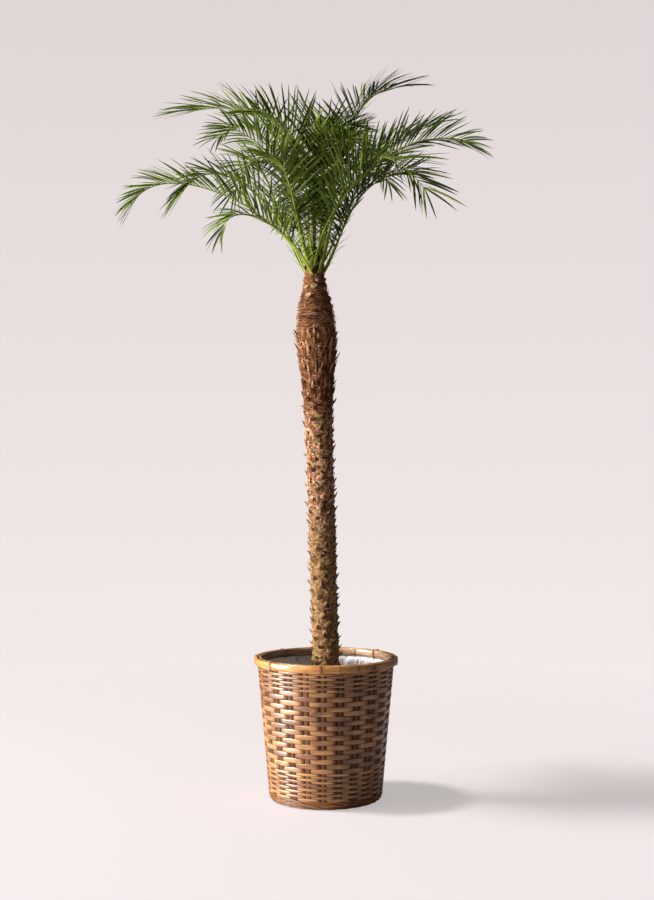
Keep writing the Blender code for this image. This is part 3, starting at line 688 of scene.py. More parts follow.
def addTwine(bm, number, row, chance):  # two thin strands that cross between the stakes
    run, height, _ = row
    radius, z, out = wallPoint(run)
    wide = height * twine["half"]
    for strand in (0, 1):
        def shape(point, strand=strand):
            angle, deep = onBand(point)
            angle %= math.tau
            place = math.pi * (angle / math.tau * basket["stakes"] + number * 0.5 + strand)
            beside = math.sin(place) * height * twine["beside"]
            depth = twine["depth"] - twine["swing"] * math.cos(place)
            across = (2 * deep - 1) * wide * twine["flat"]
            reach = radius - out[0] * depth + out[1] * beside + across
            rise = z - out[1] * depth - out[0] * beside + point.z * wide
            return Vector((reach * math.cos(angle), reach * math.sin(angle), max(rise, basket["clear"])))

        steps = basket["stakes"] * twine["stepsPerStake"]
        tint = chance.uniform(*twine["tint"])
        addBlank(bm, bandBlank(steps, stripSection), shape, tint=tint, ending=twine["ending"])


def makeWeave():
    chance = random.Random(basket["seed"])
    bm = bmesh.new()
    for number, row in enumerate(weaveRows()):
        if row[2] == "twined":
            addTwine(bm, number, row, chance)
        else:
            addStrip(bm, number, row, chance)
    finishPiece("weaveStrips", bm, stripBamboo, ["basket_wall"])


def makeStakes():
    chance = random.Random(basket["seed"] + 1)
    bm = bmesh.new()
    depth = basket["stripThickness"] + basket["clear"] + basket["stakeThickness"] / 2
    lastRow = weaveRows()[-1]
    ends = (basket["stakeTop"], lastRow[0] + lastRow[1] / 2 - 0.004)
    rings = 64
    table = [wallPoint(between(ends, i / (rings - 1))) for i in range(rings)]
    for stake in range(basket["stakes"]):
        angle = basket["turn"] - 90 + 360 * stake / basket["stakes"]
        away, along = compass(angle), compass(angle + 90)
        width = basket["stakeWidth"] * chance.uniform(0.9, 1.06)

        def shape(point):
            radius, z, out = table[min(round(point.z * (rings - 1)), rings - 1)]
            wide = min(width, radius * math.tau / basket["stakes"] * 0.5)
            half = max(abs(point.x), abs(point.y))  # makes the round blank square
            middle = depth - point.y / half * basket["stakeThickness"] / 2
            here = away * (radius - out[0] * middle) + along * (point.x / half * wide / 2 * 0.98)
            here.z = max(z - out[1] * middle, 0.0004)
            return here

        addBlank(
            bm, tubeBlank(12, rings), shape, tint=chance.random(),
            side=lambda point: point.x / max(abs(point.x), abs(point.y)),
        )
    finishPiece("weaveStakes", bm, stakeBamboo, ["basket_wall"], sharp=50)


def makeBottomDisc():  # a small plate over the crossed ends of the stakes
    bm = bmesh.new()
    bmesh.ops.create_cone(
        bm, cap_ends=True, segments=48, radius1=basket["discRadius"], radius2=basket["discRadius"],
        depth=basket["discThickness"],
    )
    bmesh.ops.translate(bm, verts=bm.verts, vec=(0, 0, basket["discHeight"]))
    rims = [e for e in bm.edges if abs(e.verts[0].co.z - e.verts[1].co.z) < 1e-6]
    bmesh.ops.bevel(
        bm, geom=rims, offset=basket["discEdge"], segments=2, profile=0.5, affect="EDGES", material=-1,
    )
    layer = bm.verts.layers.float.new("tint")
    for vert in bm.verts:
        vert[layer] = 0.45
    finishPiece("bottomDisc", bm, stakeBamboo, ["basket_wall"])


makeWeave()
makeStakes()
makeBottomDisc()


# rim: two bamboo hoops, the rattan ties round them and the lacing strand

rim = {
    "low": 0.3455, "height": 0.0195, "thickness": 0.0057, "bulge": 0.0008,
    "outerRadius": 0.1788, "innerRadius": 0.1724, "steps": 360, "seed": 5,
    "outerJointsAndShade": (  # angle from the front towards +X, width in degrees, and how dark
        # narrow entries are joints and seams in the cane; the broad ones at 40 and 72 degrees darken the
        # right of the outer hoop, partly the cane's own colour and partly painted shade
        (11.3, 0.9, 0.5), (26.7, 1.1, 0.75), (39.3, 0.5, 1.0), (40.0, 13.0, 0.42), (72.0, 22.0, 0.60),
        (118.0, 1.0, 0.8), (205.0, 1.2, 0.8), (291.0, 0.9, 0.7),
    ),
    "innerJointsAndShade": (
        # the broad entry at 240 degrees is painted shade on the left of the inner hoop's inside; the narrow
        # ones are joints
        (152.0, 1.0, 0.9), (243.0, 1.0, 0.8), (331.0, 1.1, 0.7), (62.0, 0.8, 0.8), (240.0, 45.0, 0.80),
    ),
    "jointRise": 0.00035, "wave": 0.00018, "clear": 0.0002,
    "ties": 8, "tieTurn": -4.5, "strand": 0.00105, "strandStep": 0.0019, "slip": 0.0005,
    "crossedTie": 1, "crossedSlip": 0.0022, "strandFlat": 0.6,
}
hoopSection = [
    (1.0, 0.0), (0.985, 0.3), (0.95, 0.6), (0.87, 0.82), (0.72, 0.95), (0.45, 1.0),
    (0.15, 0.99), (0.0, 0.93), (0.0, 0.4), (0.0, -0.4), (0.0, -0.93), (0.15, -0.99),
    (0.45, -1.0), (0.72, -0.95), (0.87, -0.82), (0.95, -0.6), (0.985, -0.3),
]


def makeHoop(name, node, radius, outward, joints, seed, finish):
    chance = random.Random(rim["seed"] + seed)
    waves = [(chance.randint(2, 7), chance.uniform(0, 6.3), chance.uniform(0.5, 1)) for _ in range(4)]
    thick = rim["thickness"] + rim["bulge"] * 0.9

    # also high over the broad entries, where it gives painted shade; it lifts the face a little too
    def jointAndShadeAt(point):  # 1 in the middle of a joint in the cane
        front = (math.degrees(math.atan2(point.y, point.x)) + 90) % 360
        found = 0.0
        for place, width, weight in joints:
            off = abs((front - place + 180) % 360 - 180)
            found = max(found, weight * math.exp(-((off / width) ** 2)))
        return found

    def shape(point):
        angle, deep = onBand(point)
        wave = sum(size * math.sin(count * angle + phase) for count, phase, size in waves)
        face = radius + outward * deep * (thick + rim["jointRise"] * jointAndShadeAt(point))
        z = rim["low"] + rim["height"] / 2 + point.z * (rim["height"] / 2 - rim["clear"])
        z += rim["wave"] * wave * (1 if point.z > 0 else 0.6) - rim["clear"]
        return Vector((face * math.cos(angle), face * math.sin(angle), z))

    bm = bmesh.new()
    addBlank(bm, bandBlank(rim["steps"], hoopSection), shape, joint=jointAndShadeAt)
    finishPiece(name, bm, finish, [node], sharp=50)


def makeTie(number):
    bm = bmesh.new()
    angle = rim["tieTurn"] - 90 + 360 * number / rim["ties"]
    chance = random.Random(rim["seed"] * 10 + number)
    away, along = compass(angle), compass(angle + 90)
    strand = rim["strand"]
    outside = rim["outerRadius"] + rim["thickness"] + rim["bulge"] + strand * 0.85
    inside = rim["innerRadius"] - rim["thickness"] - rim["bulge"] - strand * 0.85
    low, top = rim["low"] - strand * 0.9, basket["height"] + strand * 0.7
    corners = [  # radius and height
        (outside, low + 0.0012), (outside, top - 0.0016), (outside - 0.0020, top), (inside + 0.0020, top),
        (inside, top - 0.0016), (inside, low + 0.0012), (inside + 0.0018, low), (outside - 0.0018, low),
    ]
    lengths = [math.dist(corners[i], corners[(i + 1) % 8]) for i in range(8)]
    total = sum(lengths)

    def ringPoint(share):
        run = (share % 1.0) * total
        for i, length in enumerate(lengths):
            if run <= length:
                ends = zip(corners[i], corners[(i + 1) % 8])
                return [between(pair, run / length) for pair in ends]
            run -= length
        return corners[0]

    for strandNumber in range(3):
        start = (strandNumber - 1) * rim["strandStep"]
        slip = (strandNumber - 1) * rim["crossedSlip"]
        if number != rim["crossedTie"]:
            slip = chance.uniform(-rim["slip"], rim["slip"])

        def shape(point):
            angle, deep = onBand(point)
            share = (angle / math.tau) % 1.0
            size, z = ringPoint(share)
            before, after = ringPoint(share - 0.012), ringPoint(share + 0.012)
            run = Vector((after[0] - before[0], after[1] - before[1])).normalized()
            deep = (2 * deep - 1) * strand * rim["strandFlat"]
            side = start + slip * math.sin(math.tau * share * 2) + point.z * strand
            return away * (size + run[1] * deep) + along * side + Vector((0, 0, z - run[0] * deep))

        addBlank(bm, bandBlank(72, stripSection), shape)
    finishPiece(f"rattanTie{number}", bm, rattan, [f"rim_tie_{number}"])


lacing = {
    "start": -2.5, "span": 33.1, "radius": 0.1785, "height": 0.3435, "sag": 0.0012,
    "strands": ((0.0, 0.0, 0.0008), (0.0004, 1.9, 0.0007)),  # drop, sway and thickness
    "knotAt": 0.53, "knotDrop": 0.0008, "knotSway": 0.6, "knotTurns": 2.1,
    "knotSize": (0.0013, 0.0018, 0.003), "knotThickness": 0.0007,
}


def lacingPoint(share, drop, sway):
    front = compass(lacing["start"] + lacing["span"] * share - 90)
    sag = lacing["sag"] * math.sin(math.pi * share * 2.3 + sway)
    return front * lacing["radius"] + Vector((0, 0, lacing["height"] + sag - drop))


def makeLacing():
    bm = bmesh.new()
    for drop, sway, thick in lacing["strands"]:
        addTube(bm, lambda share: lacingPoint(share, drop, sway), lambda share: (thick, thick), rings=40)
    middle = lacingPoint(lacing["knotAt"], lacing["knotDrop"], lacing["knotSway"])
    turned = lacing["start"] + lacing["span"] * lacing["knotAt"]
    front, around = facing(turned)
    out, up, wide = lacing["knotSize"]

    def knotPath(share):  # two turns round both strands
        turn = math.tau * lacing["knotTurns"] * share
        bent = middle + front * out * math.cos(turn) + Vector((0, 0, up * math.sin(turn)))
        return bent + around * (share - 0.5) * wide

    addTube(bm, knotPath, lambda share: (lacing["knotThickness"], lacing["knotThickness"]), rings=30)
    finishPiece("rimLacing", bm, rattan, ["rim_lacing"])


makeHoop("outerHoop", "rim_outer", rim["outerRadius"], 1, rim["outerJointsAndShade"], 1, outerBamboo)
makeHoop("innerHoop", "rim_inner", rim["innerRadius"], -1, rim["innerJointsAndShade"], 2, innerBamboo)
for tieNumber in range(rim["ties"]):
    makeTie(tieNumber)
makeLacing()


# filling: the crinkled liner film and the soil

filling = {
    # radius and height
    "linerOutline": (
        (0.1732, 0.3605), (0.1730, 0.3452), (0.1698, 0.3432), (0.1668, 0.3370), (0.1655, 0.3310),
        (0.1645, 0.3200), (0.1638, 0.3100), (0.1627, 0.3000), (0.1616, 0.2900), (0.1595, 0.2700),
        (0.1530, 0.2100), (0.1440, 0.1200), (0.1350, 0.0250), (0.1300, 0.0085), (0.1000, 0.0068),
        (0.0500, 0.0068), (0.0, 0.0068),
    ),
    "linerSteps": 240, "finerAbove": 0.26, "folds": (0.0075, 0.0042), "pleats": 0.0024,
    "crinkle": 0.0006, "linerThickness": 0.0003,
    "soilTop": 0.290, "soilRadius": 0.1585, "soilRings": 45, "soilSteps": 150,
    "soilBelow": ((0.1570, 0.26), (0.1250, 0.010), (0.0, 0.010)),
    "rough": 0.0034, "heap": 0.004, "seed": 3, "crumbs": 900,
    "crumbSizes": (0.0011, 0.0015, 0.002, 0.0028, 0.0036),
}


def makeLiner():
    bm = bmesh.new()
    edges = addOutline(bm, filling["linerOutline"])
    visible = [e for e in edges if min(v.co.z for v in e.verts) > filling["finerAbove"]]
    bmesh.ops.subdivide_edges(bm, edges=visible, cuts=3)
    spinRound(bm, filling["linerSteps"])
    for vert in bm.verts:
        radius = math.hypot(vert.co.x, vert.co.y)
        if radius < 0.12:
            continue
        angle = math.atan2(vert.co.y, vert.co.x)
        loose = smoothStep(0.352, 0.328, vert.co.z) * smoothStep(0.02, 0.10, vert.co.z)
        spot = Vector((math.cos(angle) * 6.5, math.sin(angle) * 6.5, vert.co.z * 9))
        folds = abs(noise.noise(spot)) * filling["folds"][0]
        folds += abs(noise.noise(spot * 2.3 + Vector((5, 1, 2)))) * filling["folds"][1]
        pleat = noise.noise(Vector((math.cos(angle) * 26, math.sin(angle) * 26, vert.co.z * 13)))
        folds += max(0, 1 - abs(pleat) * 4) * filling["pleats"]
        crinkle = noise.noise(Vector((vert.co.x * 130, vert.co.y * 130, vert.co.z * 90)))
        inward = (folds + (crinkle + 1) * filling["crinkle"]) * loose
        vert.co.x *= 1 - inward / radius
        vert.co.y *= 1 - inward / radius
    piece = finishPiece("linerBag", bm, linerFilm, ["liner"], sharp=60)
    film = piece.modifiers.new("film", "SOLIDIFY")
    film.thickness = filling["linerThickness"]
    film.offset = 0


def makeSoil():
    chance = random.Random(filling["seed"])
    bm = bmesh.new()
    layer = bm.verts.layers.float.new("tint")
    rings = filling["soilRings"]
    top = [(filling["soilRadius"] * i / rings, filling["soilTop"]) for i in range(rings + 1)]
    addOutline(bm, [*top, *filling["soilBelow"]])
    spinRound(bm, filling["soilSteps"])
    for vert in bm.verts:
        if vert.co.z > filling["soilTop"] - 0.005:
            rough = noise.fractal(vert.co * 70, 0.8, 2.0, 4) * filling["rough"]
            fromStem = math.hypot(vert.co.x, vert.co.y) - 0.036
            vert.co.z += rough + filling["heap"] * math.exp(-((fromStem / 0.03) ** 2)) - 0.001
    for _ in range(filling["crumbs"]):
        reach = math.sqrt(chance.uniform(0.06, 0.95)) * filling["soilRadius"]
        middle = compass(chance.uniform(0, 360)) * reach
        rough = noise.fractal(middle * 70, 0.8, 2.0, 4) * filling["rough"]
        middle.z = filling["soilTop"] + rough + 0.0004
        size = chance.choice(filling["crumbSizes"])
        made = bmesh.ops.create_icosphere(bm, subdivisions=1, radius=size)["verts"]
        squeeze = (chance.uniform(0.8, 1.5), chance.uniform(0.7, 1.1), chance.uniform(0.45, 0.8))
        bmesh.ops.scale(bm, verts=made, vec=squeeze)
        turned = compass(chance.uniform(0, 360))
        shade = chance.random()
        for vert in made:
            x, y = vert.co.x, vert.co.y
            vert.co.x = x * turned.x - y * turned.y + middle.x
            vert.co.y = x * turned.y + y * turned.x + middle.y
            vert.co.z += middle.z
            vert[layer] = shade
    finishPiece("pottingSoil", bm, soilEarth, ["potting_soil"])


makeLiner()
makeSoil()


# stem: rough column, a peg on each of the lower old leaf bases, ragged stubs and fibre on the swelling

stem = {
    "lean": 0.03, "leanFrom": 0.365, "seed": 21,
    # height and radius
    "girth": (
        (0.090, 0.0345), (0.290, 0.0345), (0.400, 0.0332), (0.510, 0.0325), (0.630, 0.0332),
        (0.770, 0.0330), (0.900, 0.0330), (0.977, 0.0345), (1.030, 0.0385), (1.080, 0.0415),
        (1.133, 0.0465), (1.185, 0.0490), (1.237, 0.0475), (1.275, 0.0425), (1.300, 0.0350),
        (1.325, 0.0295), (1.345, 0.0255), (1.360, 0.0225), (1.400, 0.0210), (1.425, 0.0190),
    ),
    "foot": 0.0905, "finerAbove": 0.27, "top": 1.425, "sides": 100, "ringStep": 0.0024,
    "basesFrom": 0.285, "basesTo": 1.36, "baseStep": 0.0037, "goldenTurn": 137.508,
    "mound": (0.0016, 0.0022), "lumps": (0.0014, 0.0016), "bands": 0.0018, "creases": 0.0006,
    "pits": 0.0030, "matted": (0.0026, 0.0022, 0.0034), "mattedSink": 0.0012,
    "pegsTo": 1.075, "pegSink": 0.0032, "pegLength": (0.0120, 0.0165), "pegHalf": (0.0078, 0.0120),
}


def stemMiddle(z):
    return Vector((-stem["lean"] * max(z - stem["leanFrom"], 0), 0, z))


def stemGirth(z):
    heights, sizes = zip(*stem["girth"])
    return float(np.interp(z, heights, sizes))


def leafBases():  # middles of the old leaf bases, in a spiral up the stem
    chance = random.Random(stem["seed"])
    found = []
    count = int((stem["basesTo"] - stem["basesFrom"]) / stem["baseStep"])
    for number in range(count):
        z = stem["basesFrom"] + number * stem["baseStep"] + chance.uniform(-0.0025, 0.0025)
        angle = number * stem["goldenTurn"] + chance.uniform(-6, 6)
        found.append((z, angle))
    return found


oldBases = leafBases()


def makeStem():
    bm = bmesh.new()
    ends = (stem["finerAbove"], stem["top"])
    count = int((ends[1] - ends[0]) / stem["ringStep"])
    side = [(1, between(ends, i / count)) for i in range(count + 1)]
    addOutline(bm, [(0, stem["foot"]), (1, stem["foot"]), *side, (0, stem["top"])])
    spinRound(bm, stem["sides"])
    tree = kdtree.KDTree(len(oldBases))
    for number, (z, angle) in enumerate(oldBases):
        tree.insert(compass(angle) * stemGirth(z) + Vector((0, 0, z)), number)
    tree.balance()
    layer = bm.verts.layers.float.new("relief")
    for vert in bm.verts:
        z = vert.co.z
        if math.hypot(vert.co.x, vert.co.y) < 0.5:
            vert.co = stemMiddle(z)
            continue
        away = Vector((vert.co.x, vert.co.y, 0))
        girth = stemGirth(z)
        spot = away * girth + Vector((0, 0, z))
        (centre, _, near), (_, _, far) = tree.find_n(spot, 2)
        inside = min((far - near) / 0.012, 1)  # 0 on the line between two leaf bases
        mound = inside * (2 - inside)
        rise = min(max((z - centre.z) / 0.016, -1), 1)
        collar = smoothStep(1.0, 1.06, z) * smoothStep(1.33, 1.30, z)
        bands = noise.noise(Vector((spot.x * 45, spot.y * 45, spot.z * 190)))
        creases = 1 - abs(noise.noise(Vector((spot.x * 70, spot.y * 70, spot.z * 120)))) * 2.6
        pits = max(0, noise.noise(spot * 85 + Vector((4, 2, 7))) - 0.22)
        lumps = [noise.noise(spot * scale) * size for scale, size in zip((48, 190), stem["lumps"])]
        offset = mound * (stem["mound"][0] + stem["mound"][1] * rise) + sum(lumps)
        offset += bands * stem["bands"] - max(creases, 0) * stem["creases"] - pits * stem["pits"]
        ribs = noise.noise(Vector((spot.x * 230, spot.y * 230, spot.z * 30)))
        tangles = (ribs, noise.noise(spot * 110), noise.noise(spot * 52))
        matted = sum(tangle * size for tangle, size in zip(tangles, stem["matted"]))
        offset = offset * (1 - collar) + (matted - stem["mattedSink"]) * collar
        # relief is the height of the bark, which the bark finish turns into painted shade in the hollows and
        # painted highlight on the rises
        vert[layer] = 0.5 + offset / 0.0062
        vert.co = stemMiddle(z) + away * (girth + offset)
    finishPiece("stemColumn", bm, palmBark, ["trunk"], sharp=70)


def makePegs():
    chance = random.Random(stem["seed"] + 1)
    bm = bmesh.new()
    for z, angle in oldBases:
        if z > stem["pegsTo"]:
            continue
        away, side = facing(angle + 90 + chance.uniform(-4, 4))
        foot = stemMiddle(z) + away * (stemGirth(z) - stem["pegSink"])
        aim = (away * chance.uniform(0.75, 1.0) + Vector((0, 0, chance.uniform(0.3, 0.7)))).normalized()
        aim += side * chance.uniform(-0.3, 0.3)
        length = chance.uniform(*stem["pegLength"])
        hook = chance.uniform(0.15, 0.75)
        width = chance.uniform(*stem["pegHalf"])
        burnt = chance.choice((0.0, 0.2, 0.5, 0.8))
        pale = chance.uniform(0.45, 0.72)

        def path(share):
            return foot + aim * length * share + Vector((0, 0, hook * length * share * share))

        def size(share):
            return width * 0.36 * ((1 - share) ** 0.7 + 0.05), width * ((1 - share) ** 0.85 + 0.03)

        # relief paints each peg's top paler as painted highlight and its underside dark as painted shade;
        # pale sets how light the top is
        addTube(  # a blank's x is up and down here, so the underside is the dark one
            bm, path, size, sides=8, rings=7, side=side,
            relief=lambda point: pale + 0.54 * point.x - 0.08 + 0.10 * point.z,
            tint=lambda point: burnt * point.z**2,
        )
    finishPiece("stemPegs", bm, palmBark, ["trunk"], sharp=50)


stubs = {
    # height, angle from the front towards +X, length, half width, lean outwards
    "placed": (
        (1.180, 264, 0.028, 0.0060, 0.55), (1.150, 270, 0.030, 0.0056, 0.44),
        (1.122, 80, 0.034, 0.0068, 0.50), (1.062, -31, 0.052, 0.0045, 0.10),
        (1.044, -22, 0.036, 0.0036, 0.10), (1.078, 5, 0.030, 0.0052, 0.08),
        (1.052, 30, 0.030, 0.0042, 0.12), (1.130, 8, 0.040, 0.0040, 0.12),
        (1.120, 42, 0.042, 0.0044, 0.16), (1.138, -28, 0.044, 0.0046, 0.14),
        (1.165, 24, 0.040, 0.0042, 0.16), (1.176, -8, 0.042, 0.0044, 0.14),
    ),
    "placedTints": (0.75, 0.85, 0.95), "placedSway": 0.07,
    "low": 1.030, "top": 1.222, "step": 0.00080, "drop": 0.008, "fewerBelow": 1.100, "leftOut": 0.45,
    "long": (0.020, 0.036), "short": (0.009, 0.018), "half": (0.0026, 0.0056), "thickness": 0.0019,
    "lean": (0.04, 0.34), "shortLean": (-0.1, 0.1), "sway": 0.22, "sink": 0.0022, "seed": 8,
    "tints": (0.12, 0.28, 0.40, 0.52, 0.62, 0.80),
}


def addStub(bm, chance, z, front, length, half, lean, tint, sway):
    away, side = facing(front)
    foot = stemMiddle(z) + away * (stemGirth(z) - stubs["sink"])
    drift = chance.uniform(-sway, sway)
    ragged = [chance.uniform(0.62, 1.12) for _ in range(9)]
    curl = chance.uniform(0.0, 0.14)
    gutter = chance.uniform(0.0006, 0.0022)
    taper = chance.uniform(0.15, 0.60)

    def shape(point):
        around = int((math.atan2(point.y, point.x) / math.tau + 0.5) * 8)
        share = point.z * (ragged[around] if point.z > 0.7 else 1)
        run = share * length
        middle = foot + Vector((0, 0, run)) + away * (lean + curl * share) * run + side * drift * run
        sunk = stemGirth(middle.z) - 0.0012 - (middle - stemMiddle(middle.z)).dot(away)
        if sunk > 0:
            middle += away * sunk
        wide = half * (1 - taper * share) * (0.8 + 0.2 * math.sin(11 * share + drift * 40))
        thick = stubs["thickness"] * (1 - 0.5 * share)
        hollow = gutter * (abs(point.x) ** 2 - 0.4) * (0.3 + share)
        return middle + side * point.x * wide + away * (point.y * thick + hollow)

    addBlank(bm, tubeBlank(8, 8), shape, tint=tint, tall=lengthwise)


def makeStubs():
    chance = random.Random(stubs["seed"])
    bm = bmesh.new()
    count = int((stubs["top"] - stubs["low"]) / stubs["step"])
    for number in range(count):
        z = stubs["low"] + number * stubs["step"] + chance.uniform(-0.004, 0.004)
        high = max(smoothStep(1.185, 1.222, z), smoothStep(1.105, 1.070, z))
        if z < stubs["fewerBelow"] and chance.random() < stubs["leftOut"]:
            continue
        length = between((chance.uniform(*stubs["long"]), chance.uniform(*stubs["short"])), high)
        lean = between((chance.uniform(*stubs["lean"]), chance.uniform(*stubs["shortLean"])), high)
        shade = chance.choice(stubs["tints"])
        half = chance.uniform(*stubs["half"])
        front = number * stem["goldenTurn"] + chance.uniform(-5, 5)
        addStub(bm, chance, z - stubs["drop"], front, length, half, lean, shade, stubs["sway"])
    for place in stubs["placed"]:
        addStub(bm, chance, *place, chance.choice(stubs["placedTints"]), stubs["placedSway"])
    finishPiece("stemStubs", bm, stemFibre, ["trunk"], sharp=50)


fibres = {
    "seed": 9, "climb": (-0.010, 0.016), "sink": 0.001, "looseRise": 0.013, "tall": 0.75,
    "straws": {
        "count": 460, "heights": (0.42, 1.09, 1.0), "turn": (12, 40), "lift": (0.0016, 0.0044),
        "bulge": 0.0012, "loose": 0, "thick": (0.00040, 0.00100), "tints": (0.7, 0.9, 1.1),
    },
    "wrapped": {
        "count": 760, "heights": (1.06, 1.365, 1.26), "turn": (20, 80), "lift": (0.0004, 0.0030),
        "bulge": 0.0035, "loose": 0.04, "thick": (0.00028, 0.00080), "tints": (0.2, 0.4, 0.55, 0.75, 1.0),
    },
}


def addFibre(bm, chance, kind, sense):
    z = chance.triangular(*kind["heights"])
    front = chance.uniform(0, 360)
    turn = chance.uniform(*kind["turn"]) * sense
    climb = chance.uniform(*fibres["climb"])
    lift = chance.uniform(*kind["lift"]) - fibres["sink"]
    loose = fibres["looseRise"] if kind["loose"] and chance.random() < kind["loose"] else 0
    thick = chance.uniform(*kind["thick"])

    def path(share):
        here = z + climb * share + 0.002 * math.sin(5 * share + front)
        rise = lift + kind["bulge"] * math.sin(math.pi * share) + loose * share * share
        return stemMiddle(here) + compass(front + turn * share) * (stemGirth(here) + rise)

    def size(share):
        return thick * (1.1 - share), thick * (1.1 - share)

    addTube(bm, path, size, sides=4, rings=8, tint=chance.choice(kind["tints"]), tall=fibres["tall"])


def makeFibres():  # short pale straws on the column, and long hairs wound round the swelling
    chance = random.Random(fibres["seed"])
    bm = bmesh.new()
    for kind in (fibres["straws"], fibres["wrapped"]):
        for number in range(kind["count"]):
            addFibre(bm, chance, kind, 1 if number % 2 else -1)
    finishPiece("stemFibres", bm, stemFibre, ["trunk"])


scars = {
    "length": 0.0085, "dish": 0.0012, "lump": 0.16,
    # height, angle from the front towards +X, half width
    "cut": {"tilt": 0.75, "sink": 0.003, "tall": 0.9, "places": (
        (1.320, -3, 0.0092), (1.296, -26, 0.0088), (1.336, 14, 0.0058), (1.317, -42, 0.0066),
        (1.312, 52, 0.0062), (1.340, 78, 0.0055), (1.325, 120, 0.0065), (1.300, 160, 0.0070),
        (1.335, 190, 0.0055), (1.315, 235, 0.0065), (1.338, 280, 0.0055), (1.292, 90, 0.0062),
    )},
    # young leaf bases that show yellow-green in the bark
    "young": {"tilt": 0.15, "sink": 0.0073, "tall": 0.5, "places": (
        (0.985, -8, 0.0060), (0.962, -14, 0.0095), (0.944, -38, 0.0105), (0.928, 20, 0.0060),
        (0.893, -31, 0.0056), (0.870, 12, 0.0050), (0.960, 120, 0.0080), (0.930, 200, 0.0085),
        (0.980, 250, 0.0070), (0.900, 300, 0.0060), (0.940, 75, 0.0070),
    )},
}


def addScar(bm, z, front, half, kind):
    away, side = facing(front)
    face = (away + Vector((0, 0, kind["tilt"]))).normalized()
    up = side.cross(face) * kind["tall"]
    foot = stemMiddle(z) + away * (stemGirth(z) - kind["sink"])

    def shape(point):
        end = point.z > 0.99
        rounder = (1 - 0.12 * point.z) * (0.8 if end else 1)
        lump = 1 + scars["lump"] * noise.noise(Vector((point.x * 2, point.y * 2, z * 90)))
        spot = foot + face * (scars["length"] * point.z - (scars["dish"] if end else 0))
        return spot + (side * point.x + up * point.y) * half * rounder * lump

    def rimAt(point):
        if kind is scars["young"]:
            return 0.5
        return 0.0 if point.z > 0.99 else 0.35 + (1 - point.z) * 1.3

    addBlank(bm, tubeBlank(14, 8), shape, rim=rimAt)


def makeScars():
    bm = bmesh.new()
    for kind in (scars["cut"], scars["young"]):
        for place in kind["places"]:
            addScar(bm, *place, kind)
    finishPiece("leafScars", bm, leafBaseCut, ["trunk"], sharp=45)


makeStem()
makePegs()
makeStubs()
makeFibres()
makeScars()


# crown: 21 fronds on three tiers of feet, each a rachis with two rows of leaflets

crown = {
    "tierHeights": (1.352, 1.378, 1.404), "feet": 7, "firstPlace": 200, "footOut": 0.027,
    "startPull": 0.55, "endPull": 0.42, "seed": 40,
    # from the foot of a rachis to its tip
    "stalkWidth": (0.0078, 0.0024), "stalkHeight": (0.0066, 0.0022), "footFlare": 0.95, "footSink": 0.008,
    "bareShare": 0.153, "countShare": 0.83, "spacing": 0.0106,
}
leaflets = {
    "width": 0.0058, "thickness": 0.00045, "fold": 0.30, "widest": 0.22, "shorten": 0.96,
    # in degrees, from the first leaflets to the last
    "forward": (64, 29), "forwardSpread": 5, "lift": (34, 12), "liftSpread": 13,
    "curl": (0.0, 0.08), "sag": (0.6, 1.5), "twist": 0.5, "turned": 0.38, "bow": (-0.02, 0.05),
    "sizeSpread": (0.88, 1.05), "widthSpread": (0.85, 1.1), "tintSpread": 0.34, "tintShift": -0.06,
}
spines = {
    "count": 5, "first": 0.045, "step": 0.024, "length": (0.022, 0.062), "width": 0.0016,
    "droop": 0.16, "out": 0.0042, "tint": 0.9,
}
